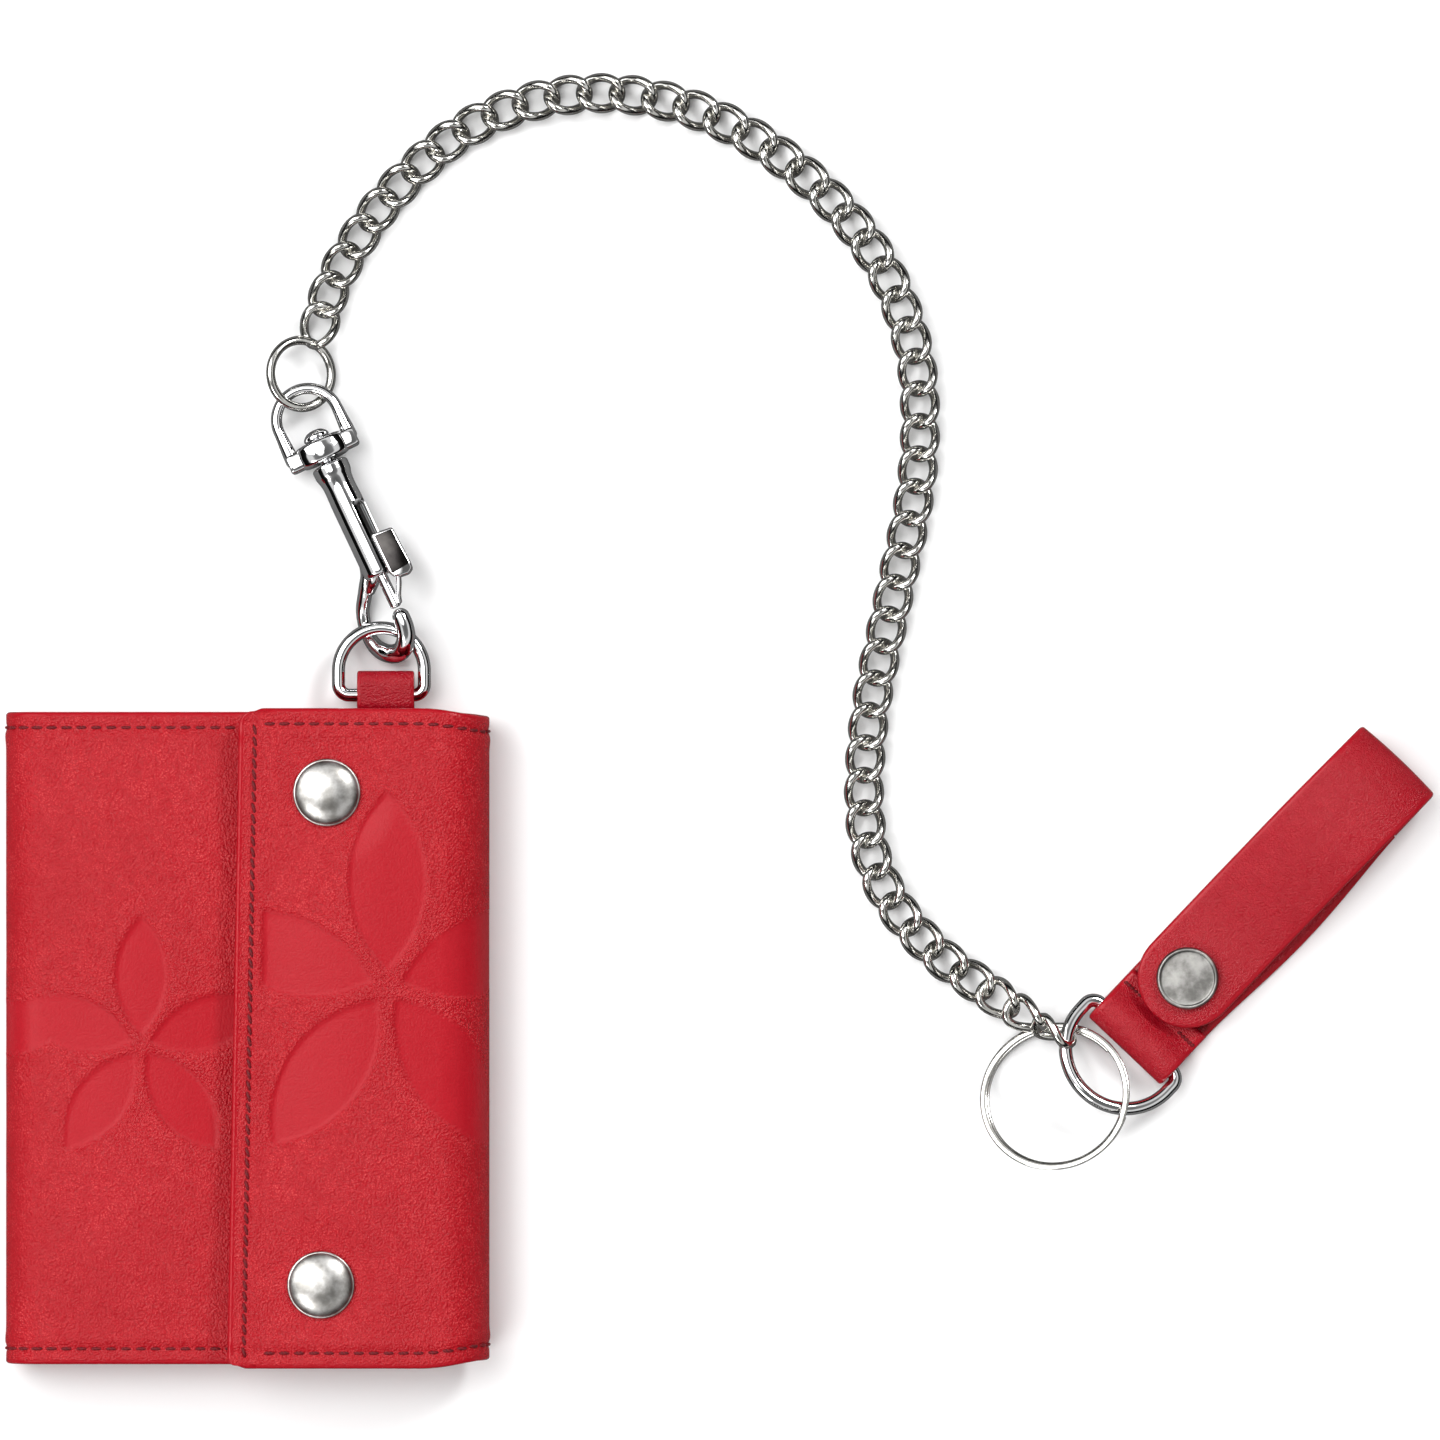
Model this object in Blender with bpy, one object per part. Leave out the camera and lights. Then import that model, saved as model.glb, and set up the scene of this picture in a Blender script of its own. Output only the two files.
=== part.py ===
"""A trifold leather chain wallet with its hook, curb chain, key ring and belt loop, laid on a table.

The origin is the middle of the wallet's back face. +X is across the wallet, +Y up it, +Z off the table.
Sizes are in millimetres, and addMesh turns them into Blender's metres."""

import math

import bmesh
import bpy
import numpy as np
from mathutils import Vector

METRE = 0.001
GAP = 0.3

# Driving dimensions of the wallet
WALLET_HALF_WIDTH = 44.75
WALLET_HALF_HEIGHT = 60.3
FLAP_HALF_HEIGHT = 61.0
LEATHER = 1.8
LINING = 0.7
POCKET = 1.0
PANEL_TOP = 13.0
FLAP_TOP = 17.8
FLAP_EDGE_TOP_X = -1.4
FLAP_EDGE_BOTTOM_X = -3.6
PANEL_EDGE_X = 20.5
FLAP_HINGE_X = 47.5
PANEL_HINGE_X = -43.5
SNAP_PLACES = {"upper": (14.8, 45.4), "lower": (13.7, -45.5)}
SNAP_CAP_RADIUS = 6.25

# Tab and its D-ring
TAB_MIDDLE_X = 25.5
TAB_WIDTH = 10.6
TAB_LEATHER = 1.2
TAB_FRONT_Y = 67.9
TAB_ROOT_Y = 46.0
RING_WIRE = 1.2
TAB_RING_BAR = (24.7, 63.4, 4.83)

# Snap hook: its axis runs from the collar of the bail down to the hook's tip
HOOK_TIP = (27.4, 80.0, 7.6)
HOOK_COLLAR = (13.7, 108.9, 4.8)
HOOK_ROLL = 42.0
BARREL_RADIUS = 3.1
BORE_RADIUS = 1.9
BOLT_RADIUS = 1.0

# Rings and chain
JUMP_RING_CENTRE = (9.8, 122.9, 3.97)
JUMP_RING_RADIUS = 6.25
JUMP_RING_WIRE = 0.85
JUMP_RING_RISE = 0.455
KEY_RING_CENTRE = (149.5, -10.9, 5.88)
KEY_RING_RADIUS = 13.4
KEY_RING_RISE = 0.3376
KEY_RING_PITCH = 0.8
KEY_RING_WIRE_HALF = 0.33
KEY_RING_WIRE_WIDE = 0.95
KEY_RING_START = 1.27
CHAIN_RADIUS = 1.7
CHAIN_ROUTE = (
    (12.9, 131.0, 1.9), (15.6, 139.4, 1.75), (20.1, 147.6, 1.75), (25.8, 155.4, 1.75),
    (32.7, 162.4, 1.75), (39.3, 167.6, 1.75), (46.7, 171.4, 1.75), (54.1, 173.7, 1.75),
    (61.5, 174.8, 1.75), (68.9, 174.8, 1.75), (76.3, 173.7, 1.75), (83.7, 171.5, 1.75),
    (91.1, 168.0, 1.75), (98.5, 163.3, 1.75), (105.4, 157.6, 1.75), (111.2, 151.6, 1.75),
    (115.6, 145.8, 1.75), (119.2, 139.4, 1.75), (121.9, 132.4, 1.75), (123.7, 125.2, 1.75),
    (124.4, 117.8, 1.75), (124.4, 110.4, 1.75), (123.8, 103.0, 1.75), (122.6, 95.8, 1.75),
    (121.0, 88.4, 1.75), (119.4, 81.0, 1.75), (117.8, 73.6, 1.75), (116.2, 66.2, 1.75),
    (115.0, 58.8, 1.75), (114.3, 51.4, 1.75), (114.1, 44.0, 1.75), (114.8, 36.6, 1.75),
    (117.0, 29.4, 1.75), (121.5, 22.0, 1.75), (128.2, 15.0, 1.8), (135.6, 9.6, 2.6),
    (142.6, 4.9, 4.3), (149.2, 0.9, 5.3),
)

# Belt loop: the strap runs from the fold round its D-ring to the bend at the loop's end
LOOP_START = (162.0, -2.6)
LOOP_DIRECTION = (0.688, 0.726)
LOOP_LENGTH = 74.3
STRAP_WIDTH = 18.6
STRAP_LEATHER = 1.9
STRAP_RING_BAR = (164.5, 0.1, 3.4)
STRAP_RING_HALF = 11.05
STRAP_RING_DEPTH = 14.45
STRAP_RING_TILT = 15.0
STRAP_RING_WIRE = 1.25
LOOP_SNAP_S = 18.06
UPPER_STRAP_OFFSET = -0.7
LOWER_STRAP_OFFSET = 0.1


def unit(vector):
    """The vector at length 1."""
    vector = np.asarray(vector, float)
    return vector / np.linalg.norm(vector)


UP = np.array([0.0, 0.0, 1.0])
HOOK_AXIS = unit(np.subtract(HOOK_TIP, HOOK_COLLAR))
HOOK_SIDE = unit(np.cross(UP, HOOK_AXIS))
HOOK_FACE = np.cross(HOOK_AXIS, HOOK_SIDE)
HOOK_BULGE = -math.cos(math.radians(HOOK_ROLL)) * HOOK_SIDE - math.sin(math.radians(HOOK_ROLL)) * HOOK_FACE
HOOK_ACROSS = np.cross(HOOK_AXIS, HOOK_BULGE)
LOOP_ALONG = unit((*LOOP_DIRECTION, 0.0))
LOOP_ACROSS = np.cross(LOOP_ALONG, UP)

SPINE_CENTRES = {
    "left": (-WALLET_HALF_WIDTH + PANEL_TOP / 2, PANEL_TOP / 2),
    "right": (WALLET_HALF_WIDTH - FLAP_TOP / 2, FLAP_TOP / 2),
}
LOOP_BEND_RADIUS = 5.5
LOOP_BEND_S = LOOP_LENGTH - LOOP_BEND_RADIUS - STRAP_LEATHER / 2
LOOP_BEND_Z = STRAP_LEATHER / 2 + LOOP_BEND_RADIUS


def clearScene():
    """Empty the open scene without closing the file."""
    for thing in list(bpy.data.objects):
        bpy.data.objects.remove(thing, do_unlink=True)


def makeMaterial(name, colour, roughness, metallic):
    """A plain Principled material."""
    material = bpy.data.materials.new(name)
    material.use_nodes = True
    shader = material.node_tree.nodes["Principled BSDF"]
    shader.inputs["Base Color"].default_value = (*colour, 1.0)
    shader.inputs["Roughness"].default_value = roughness
    shader.inputs["Metallic"].default_value = metallic
    material.diffuse_color = (*colour, 1.0)
    return material


def makeMaterials():
    """The finishes of the object's pieces, by name."""
    return {
        "red_leather": makeMaterial("red_leather", (0.52, 0.012, 0.024), 0.42, 0.0),
        "red_lining": makeMaterial("red_lining", (0.30, 0.008, 0.016), 0.60, 0.0),
        "chrome": makeMaterial("chrome", (0.78, 0.78, 0.80), 0.08, 1.0),
        "nickel": makeMaterial("nickel", (0.62, 0.61, 0.60), 0.20, 1.0),
        "snap_metal": makeMaterial("snap_metal", (0.50, 0.50, 0.50), 0.32, 1.0),
        "spring_steel": makeMaterial("spring_steel", (0.45, 0.45, 0.46), 0.30, 1.0),
    }


def addMesh(name, points, faces, material, parent=None):
    """A mesh object from points in millimetres, its origin on its parent's."""
    offset = Vector((0.0, 0.0, 0.0)) if parent is None else parent.location
    mesh = bpy.data.meshes.new(name)
    moved = [tuple(Vector(p) * METRE - offset) for p in np.asarray(points, float).tolist()]
    mesh.from_pydata(moved, [], [tuple(f) for f in faces])
    mesh.validate()
    work = bmesh.new()
    work.from_mesh(mesh)
    bmesh.ops.remove_doubles(work, verts=work.verts, dist=1e-7)
    bmesh.ops.recalc_face_normals(work, faces=work.faces)
    work.to_mesh(mesh)
    work.free()
    mesh.materials.append(material)
    thing = bpy.data.objects.new(name, mesh)
    bpy.context.collection.objects.link(thing)
    thing.parent = parent
    mesh.shade_smooth()
    mesh.set_sharp_from_angle(angle=math.radians(40))
    return thing


def addPivot(name, place):
    """An empty on a joint's axis."""
    pivot = bpy.data.objects.new(name, None)
    pivot.location = Vector(place) * METRE
    bpy.context.collection.objects.link(pivot)
    return pivot


def cutWith(thing, cutter):
    """Take a hidden cutter's shape out of an object."""
    cutter.hide_render = True
    cutter.display_type = "WIRE"
    cut = thing.modifiers.new(cutter.name, "BOOLEAN")
    cut.operation = "DIFFERENCE"
    cut.object = cutter


def joinWith(thing, other):
    """Make an object and a hidden second one into one body."""
    other.hide_render = True
    other.display_type = "WIRE"
    join = thing.modifiers.new(other.name, "BOOLEAN")
    join.operation = "UNION"
    join.object = other


def roundedOutline(corners, radii, steps=6):
    """A closed outline whose corners are quarter arcs of the radii given."""
    corners = [np.array(c, float) for c in corners]
    outline = []
    for k, corner in enumerate(corners):
        back = unit(corners[k - 1] - corner)
        ahead = unit(corners[(k + 1) % len(corners)] - corner)
        radius = radii[k]
        if radius <= 0:
            outline.append(corner)
            continue
        half = math.acos(float(np.dot(back, ahead))) / 2
        centre = corner + unit(back + ahead) * radius / math.sin(half)
        first = corner + back * radius / math.tan(half) - centre
        last = corner + ahead * radius / math.tan(half) - centre
        for step in range(steps + 1):
            share = step / steps
            outline.append(centre + unit(first * (1 - share) + last * share) * radius)
    return outline


def prism(name, outline, low, high, material, parent=None):
    """An outline in X and Y carried from one height to another."""
    count = len(outline)
    points = [(p[0], p[1], low) for p in outline] + [(p[0], p[1], high) for p in outline]
    faces = [(k, (k + 1) % count, count + (k + 1) % count, count + k) for k in range(count)]
    faces += [tuple(range(count))[::-1], tuple(range(count, 2 * count))]
    return addMesh(name, points, faces, material, parent)


def ribbon(name, centreline, thickness, place, near, far, material, parent=None):
    """A strip of leather: a centreline in two directions, thickened and carried across its width.

    place turns (along, height, across) into a point of the object."""
    line = np.array(centreline, float)
    step = np.gradient(line, axis=0)
    step /= np.linalg.norm(step, axis=1)[:, None]
    normal = np.stack([-step[:, 1], step[:, 0]], axis=1)
    half = normal * thickness / 2
    outline = np.concatenate([line + half, (line - half)[::-1]])
    count = len(outline)
    points = [place(p[0], p[1], near) for p in outline] + [place(p[0], p[1], far) for p in outline]
    faces = [(k, (k + 1) % count, count + (k + 1) % count, count + k) for k in range(count)]
    lines = len(line)
    for k in range(lines - 1):
        quad = (k, k + 1, count - 2 - k, count - 1 - k)
        faces.append(quad[::-1])
        faces.append(tuple(count + q for q in quad))
    return addMesh(name, points, faces, material, parent)


def turned(name, profile, centre, axis, material, parent=None, segments=24):
    """A profile of (radius, height) pairs turned round an axis, closed where the radius is 0."""
    axis = unit(axis)
    side = unit(np.cross(axis, UP if abs(axis[2]) < 0.9 else np.array([1.0, 0.0, 0.0])))
    other = np.cross(axis, side)
    centre = np.array(centre, float)
    points, rings = [], []
    for radius, height in profile:
        if radius == 0:
            rings.append([len(points)])
            points.append(centre + axis * height)
            continue
        rings.append(list(range(len(points), len(points) + segments)))
        for k in range(segments):
            turn = 2 * math.pi * k / segments
            points.append(centre + axis * height + radius * (math.cos(turn) * side + math.sin(turn) * other))
    faces = []
    pairs = list(zip(rings, rings[1:]))
    if len(rings[0]) > 1:
        pairs.append((rings[-1], rings[0]))
    for low, high in pairs:
        for k in range(segments):
            n = (k + 1) % segments
            face = [low[k % len(low)], low[n % len(low)], high[n % len(high)], high[k % len(high)]]
            faces.append(tuple(dict.fromkeys(face)))
    return addMesh(name, points, faces, material, parent)


def sweep(name, route, section, material, parent=None, closed=False, fixed=None):
    """A closed section, (across, up) pairs, carried along a route; its up stays near the fixed direction."""
    route = np.array(route, float)
    if closed:
        step = np.roll(route, -1, axis=0) - np.roll(route, 1, axis=0)
    else:
        step = np.gradient(route, axis=0)
    step /= np.linalg.norm(step, axis=1)[:, None]
    up = np.array(fixed, float)
    points = []
    for place, ahead in zip(route, step):
        across = unit(np.cross(ahead, up))
        raised = np.cross(across, ahead)
        points += [place + across * a + raised * b for a, b in section]
    count, size = len(route), len(section)
    faces = []
    for k in range(count if closed else count - 1):
        for m in range(size):
            low, high = k * size, ((k + 1) % count) * size
            n = (m + 1) % size
            faces.append((low + m, low + n, high + n, high + m))
    if not closed:
        faces.append(tuple(range(size))[::-1])
        faces.append(tuple(range((count - 1) * size, count * size)))
    return addMesh(name, points, faces, material, parent)


def circle(radius, sides):
    """A round section."""
    return [
        (radius * math.cos(2 * math.pi * k / sides), radius * math.sin(2 * math.pi * k / sides))
        for k in range(sides)
    ]


def smoothRoute(route, spacing):
    """Points at an even spacing along the smooth curve through a route's own points."""
    route = np.array(route, float)
    ends = np.concatenate([[2 * route[0] - route[1]], route, [2 * route[-1] - route[-2]]])
    fine = []
    for k in range(1, len(ends) - 2):
        a, b, c, d = ends[k - 1 : k + 3]
        for share in np.linspace(0, 1, 16, endpoint=False):
            fine.append(
                0.5 * (2 * b + (c - a) * share + (2 * a - 5 * b + 4 * c - d) * share**2
                       + (3 * b - a - 3 * c + d) * share**3)
            )
    fine = np.array(fine + [route[-1]])
    gone = np.concatenate([[0], np.cumsum(np.linalg.norm(np.diff(fine, axis=0), axis=1))])
    places = np.linspace(0, gone[-1], int(round(gone[-1] / spacing)) + 1)
    return np.stack([np.interp(places, gone, fine[:, k]) for k in range(3)], axis=1)


def hookPoint(bulge, along, across=0.0):
    """A point of the snap hook from its distances out of, along and across its axis."""
    return np.array(HOOK_TIP) + bulge * HOOK_BULGE + along * HOOK_AXIS + across * HOOK_ACROSS


def bailPoint(side, along, rise=0.0):
    """A point of the swivel bail, which lies level, from its distances to the side and along the axis."""
    return np.array(HOOK_TIP) + side * HOOK_SIDE + along * HOOK_AXIS + rise * HOOK_FACE


def loopPoint(along, height, across):
    """A point of the belt loop from its distances along the strap, above the table and across it."""
    return np.array([*LOOP_START, 0.0]) + along * LOOP_ALONG + across * LOOP_ACROSS + height * UP


def ringOutline(half, depth, steps=22):
    """The centreline of a D-ring, (across, out) pairs from its bar's middle: a bar and a round bow."""
    corner = 1.6
    bow = [
        (half * math.cos(turn), depth - half + half * math.sin(turn))
        for turn in np.linspace(0, math.pi, steps)
    ]
    rounded = [(corner * (1 - math.sin(turn)), corner * (1 - math.cos(turn))) for turn in np.linspace(0, 1.57, 5)]
    left = [(-half + a, b) for a, b in [(r[0], r[1]) for r in rounded][::-1]]
    right = [(half - a, b) for a, b in [(r[0], r[1]) for r in rounded]]
    return bow + left + right


def makeDRing(name, bar, across, out, half, depth, wire, material, parent):
    """A wire D-ring from its bar's middle and its two directions."""
    outline = ringOutline(half, depth)
    route = [np.array(bar) + a * np.array(across) + b * np.array(out) for a, b in outline]
    return sweep(name, route, circle(wire, 10), material, parent, closed=True, fixed=np.cross(across, out))


def makeSnap(place, label, materials, flapPivot, panelPivot):
    """One press snap: cap and socket on the flap, stud and rivet on the panel under it."""
    x, y = place
    skin = FLAP_TOP - LEATHER
    metal = materials["snap_metal"]
    cap = [(0, FLAP_TOP + 2.4), (2.4, FLAP_TOP + 2.25), (4.6, FLAP_TOP + 1.7), (5.8, FLAP_TOP + 1.0),
           (SNAP_CAP_RADIUS, FLAP_TOP + GAP), (1.5, FLAP_TOP + GAP), (1.5, skin), (0, skin)]
    turned(f"snap_cap_{label}", cap, (x, y, 0), UP, metal, flapPivot, 32)
    bottom = skin - GAP - 1.3
    socket = [(3.1, bottom), (5.0, bottom), (5.4, bottom + 0.4), (5.4, skin - GAP - 0.2), (5.2, skin - GAP),
              (3.1, skin - GAP)]
    turned(f"snap_socket_{label}", socket, (x, y, 0), UP, metal, flapPivot, 24)
    base = PANEL_TOP + GAP
    stud = [(0, base), (5.2, base), (5.2, base + 0.5), (2.2, base + 0.8), (1.7, base + 1.2), (1.8, base + 1.8),
            (1.4, base + 2.1), (0, base + 2.1)]
    turned(f"snap_stud_{label}", stud, (x, y, 0), UP, metal, panelPivot, 24)
    under = PANEL_TOP - LEATHER
    rivet = [(0, under - 1.2), (3.4, under - 1.2), (4.0, under - 0.7), (4.0, under - GAP), (1.5, under - GAP),
             (1.5, PANEL_TOP), (0, PANEL_TOP)]
    turned(f"snap_rivet_{label}", rivet, (x, y, 0), UP, metal, panelPivot, 24)


def punch(thing, label, place, radius, low, high, material):
    """A round hole through a leather layer."""
    hole = turned(f"{thing.name}_{label}_hole", [(0, low), (radius, low), (radius, high), (0, high)],
                  (*place, 0), UP, material, None, 20)
    cutWith(thing, hole)


def makeBackPanel(materials):
    """The part of the wallet that lies on the table: skin, fold spines, lining and card pockets."""
    leather, lining = materials["red_leather"], materials["red_lining"]
    left = SPINE_CENTRES["left"][0] + GAP / 2
    right = SPINE_CENTRES["right"][0] - GAP / 2
    half = WALLET_HALF_HEIGHT
    corners = [(left, -half), (right, -half), (right, half), (left, half)]
    prism("back_leather", corners, 0.0, LEATHER, leather)
    for side, sign in (("left", -1), ("right", 1)):
        centreX, centreZ = SPINE_CENTRES[side]
        arc = [
            (centreX + sign * (centreZ - LEATHER / 2) * math.cos(turn),
             centreZ + (centreZ - LEATHER / 2) * math.sin(turn))
            for turn in np.linspace(-math.pi / 2, math.pi / 2, 17)
        ]
        arc[0] = (centreX + sign * GAP / 2, arc[0][1])
        arc[-1] = (centreX + sign * GAP / 2, arc[-1][1])
        ribbon(f"{side}_spine", arc, LEATHER, lambda a, b, c: (a, c, b), -half, half, leather)
    notchLeft = TAB_MIDDLE_X - TAB_WIDTH / 2 - 1.5
    notchLow = TAB_ROOT_Y - 1.5
    low = LEATHER + GAP
    for name, thickness, top in (("back_lining", LINING, 1.0), ("bill_divider", LINING, 4.0),
                                 ("card_pocket_wide", POCKET, 14.0), ("card_pocket_narrow", POCKET, 28.0)):
        sideX = right - 1.0
        high = half - top
        outline = [(left + 1.0, -half + 1.0), (sideX, -half + 1.0)]
        if high > notchLow:
            outline += [(sideX, notchLow), (notchLeft, notchLow)]
            outline += [(notchLeft, high), (left + 1.0, high)]
        else:
            outline += [(sideX, high), (left + 1.0, high)]
        prism(name, outline, low, low + thickness, lining)
        low += thickness + GAP / 2


def makeInnerPanel(materials, pivot):
    """The panel folded in over the back: skin, lining and two card pockets."""
    leather, lining = materials["red_leather"], materials["red_lining"]
    left = SPINE_CENTRES["left"][0] + GAP / 2
    half = WALLET_HALF_HEIGHT
    low = PANEL_TOP - LEATHER
    outline = roundedOutline(
        [(left, -half), (PANEL_EDGE_X, -half), (PANEL_EDGE_X, half), (left, half)], [0, 4.0, 4.0, 0]
    )
    skin = prism("inner_leather", outline, low, PANEL_TOP, leather, pivot)
    high = low - GAP / 2
    inner = None
    for name, thickness, top in (("inner_lining", 0.9, 1.0), ("inner_pocket_wide", POCKET, 14.0),
                                 ("inner_pocket_narrow", POCKET, 28.0)):
        edge = PANEL_EDGE_X - 1.0 if inner is None else 4.0
        outline = [(left + 1.0, -half + 1.0), (edge, -half + 1.0), (edge, half - top), (left + 1.0, half - top)]
        layer = prism(name, outline, high - thickness, high, lining, pivot)
        inner = inner or layer
        high -= thickness + GAP / 2
    for label, place in SNAP_PLACES.items():
        punch(skin, label, place, 1.9, low - 1, PANEL_TOP + 1, leather)
        punch(inner, label, place, 4.5, low - 2, low + 0.05, lining)


def makeFlap(materials, pivot):
    """The outer flap: skin and lining."""
    leather, lining = materials["red_leather"], materials["red_lining"]
    right = SPINE_CENTRES["right"][0] - GAP / 2
    half = FLAP_HALF_HEIGHT
    low = FLAP_TOP - LEATHER
    outline = roundedOutline(
        [(FLAP_EDGE_BOTTOM_X, -half), (right, -half), (right, half), (FLAP_EDGE_TOP_X, half)], [1.5, 0, 0, 4.0]
    )
    skin = prism("flap_leather", outline, low, FLAP_TOP, leather, pivot)
    inset = 0.8
    outline = [(FLAP_EDGE_BOTTOM_X + inset, -half + inset), (right - 1, -half + inset),
               (right - 1, half - inset), (FLAP_EDGE_TOP_X + 3.5, half - inset),
               (FLAP_EDGE_TOP_X + inset, half - 4.0)]
    under = prism("flap_lining", outline, low - GAP - LINING, low - GAP, lining, pivot)
    for label, place in SNAP_PLACES.items():
        punch(skin, label, place, 1.9, low - 1, FLAP_TOP + 1, leather)
        punch(under, label, place, 5.9, low - 2, low, lining)


def makeTab(materials):
    """The leather tab that holds the wallet's D-ring: two layers in the wallet and a loop past its edge."""
    lower = LEATHER + GAP + TAB_LEATHER / 2
    cavity = 2 * RING_WIRE + 2 * GAP
    upper = lower + TAB_LEATHER + cavity
    inside = lower + TAB_LEATHER + GAP
    radius = (upper - lower) / 2
    turnY = TAB_FRONT_Y - TAB_LEATHER / 2 - radius
    line = [(TAB_ROOT_Y, lower), (56.0, lower), (62.0, lower)]
    for turn in np.linspace(-math.pi / 2, math.pi / 2, 11):
        line.append((turnY + radius * math.cos(turn), lower + radius + radius * math.sin(turn)))
    slopeStart, slopeEnd = 62.2, 58.0
    for share in np.linspace(0, 1, 6):
        ease = share * share * (3 - 2 * share)
        line.append((slopeStart + (slopeEnd - slopeStart) * share, upper + (inside - upper) * ease))
    line += [(TAB_ROOT_Y, inside)]
    near, far = TAB_MIDDLE_X - TAB_WIDTH / 2, TAB_MIDDLE_X + TAB_WIDTH / 2
    ribbon("tab_strap", line, TAB_LEATHER, lambda a, b, c: (c, a, b), near, far, materials["red_leather"])


def makeHook(materials, triggerPivot, bailPivot):
    """The snap hook: barrel and hook in one casting, sliding bolt, spring, swivel rivet and bail."""
    chrome = materials["chrome"]
    barrelTop, barrelEnd, boreTop = -29.2, -6.2, -27.0
    collarLow, collarHigh = -33.95, -30.4
    profile = [(0, barrelTop), (2.4, barrelTop), (3.0, barrelTop + 0.7), (3.0, barrelTop + 2.2),
               (2.6, barrelTop + 3.0), (2.6, barrelTop + 5.0), (BARREL_RADIUS, barrelTop + 6.2),
               (BARREL_RADIUS, barrelEnd - 0.5), (2.8, barrelEnd), (BORE_RADIUS, barrelEnd),
               (BORE_RADIUS, boreTop), (0, boreTop)]
    body = turned("hook_body", profile, HOOK_TIP, HOOK_AXIS, chrome, None, 24)
    slotWidth, slotTop = 1.6, -20.2
    corners = [(b, a, w) for a in (slotTop, barrelEnd + 2) for b, w in
               ((0.0, -slotWidth), (0.0, slotWidth), (-5.0, slotWidth), (-5.0, -slotWidth))]
    slot = addMesh("hook_slot", [hookPoint(*c) for c in corners],
                   [(0, 1, 2, 3), (7, 6, 5, 4), (0, 4, 5, 1), (1, 5, 6, 2), (2, 6, 7, 3), (3, 7, 4, 0)], chrome)
    cutWith(body, slot)
    bend = [(2.75, -10.5), (3.0, -8.5), (4.0, -6.3), (6.6, -4.3), (8.7, -1.7), (9.5, 1.6), (8.8, 4.8),
            (6.5, 7.1), (3.5, 7.7), (1.2, 6.1), (0.2, 3.6), (0, 0.8)]
    route = smoothRoute([hookPoint(*p) for p in bend], 1.3)
    limb = sweep("hook_limb", route, circle(1.22, 10), chrome, None, fixed=HOOK_ACROSS)
    cutLimb = turned("hook_limb_bore", [(0, barrelTop + 5), (BORE_RADIUS - 0.02, barrelTop + 5),
                                        (BORE_RADIUS - 0.02, barrelEnd + 0.5), (0, barrelEnd + 0.5)],
                     HOOK_TIP, HOOK_AXIS, chrome, None, 24)
    cutWith(limb, cutLimb)
    joinWith(body, limb)

    pistonTop, pistonEnd, boltEnd = -15.2, -12.9, 0.35
    rod = [(0, pistonTop), (BORE_RADIUS - GAP, pistonTop), (BORE_RADIUS - GAP, pistonEnd),
           (BOLT_RADIUS, pistonEnd), (BOLT_RADIUS, boltEnd - 0.3), (BOLT_RADIUS - 0.3, boltEnd), (0, boltEnd)]
    bolt = turned("trigger_bolt", rod, HOOK_TIP, HOOK_AXIS, chrome, triggerPivot, 20)
    knobHigh, knobLow = -12.7, -4.9
    knobOutline = [(0.0, knobHigh + 0.5), (-4.4, knobHigh + 0.5), (-6.2, knobHigh), (-6.4, knobHigh + 1.5),
                   (-5.6, -9.0), (-6.0, knobLow - 1.6), (-5.4, knobLow), (-4.2, knobLow), (-3.6, -7.0), (0.0, -7.0)]
    points = [hookPoint(b, a, w) for w in (-1.25, 1.25) for b, a in knobOutline]
    count = len(knobOutline)
    faces = [(k, (k + 1) % count, count + (k + 1) % count, count + k) for k in range(count)]
    faces += [tuple(range(count))[::-1], tuple(range(count, 2 * count))]
    knob = addMesh("trigger_knob", points, faces, chrome, triggerPivot)
    joinWith(bolt, knob)

    turns, coilTop, coilEnd, coilRadius, coilWire = 8, -26.5, -15.7, 1.35, 0.26
    coil = []
    for k in range(turns * 12 + 1):
        share = k / (turns * 12)
        angle = 2 * math.pi * turns * share
        coil.append(hookPoint(coilRadius * math.cos(angle), coilTop + (coilEnd - coilTop) * share,
                              coilRadius * math.sin(angle)))
    sweep("bolt_spring", coil, circle(coilWire, 6), materials["spring_steel"], None, fixed=HOOK_AXIS)

    rivet = [(0, collarLow - 2.0), (1.6, collarLow - 1.8), (2.4, collarLow - 1.0), (2.4, collarLow - GAP),
             (1.5, collarLow - GAP), (1.5, barrelTop - GAP), (0, barrelTop - GAP)]
    turned("swivel_rivet", rivet, HOOK_TIP, HOOK_AXIS, chrome, None, 20)

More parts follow.
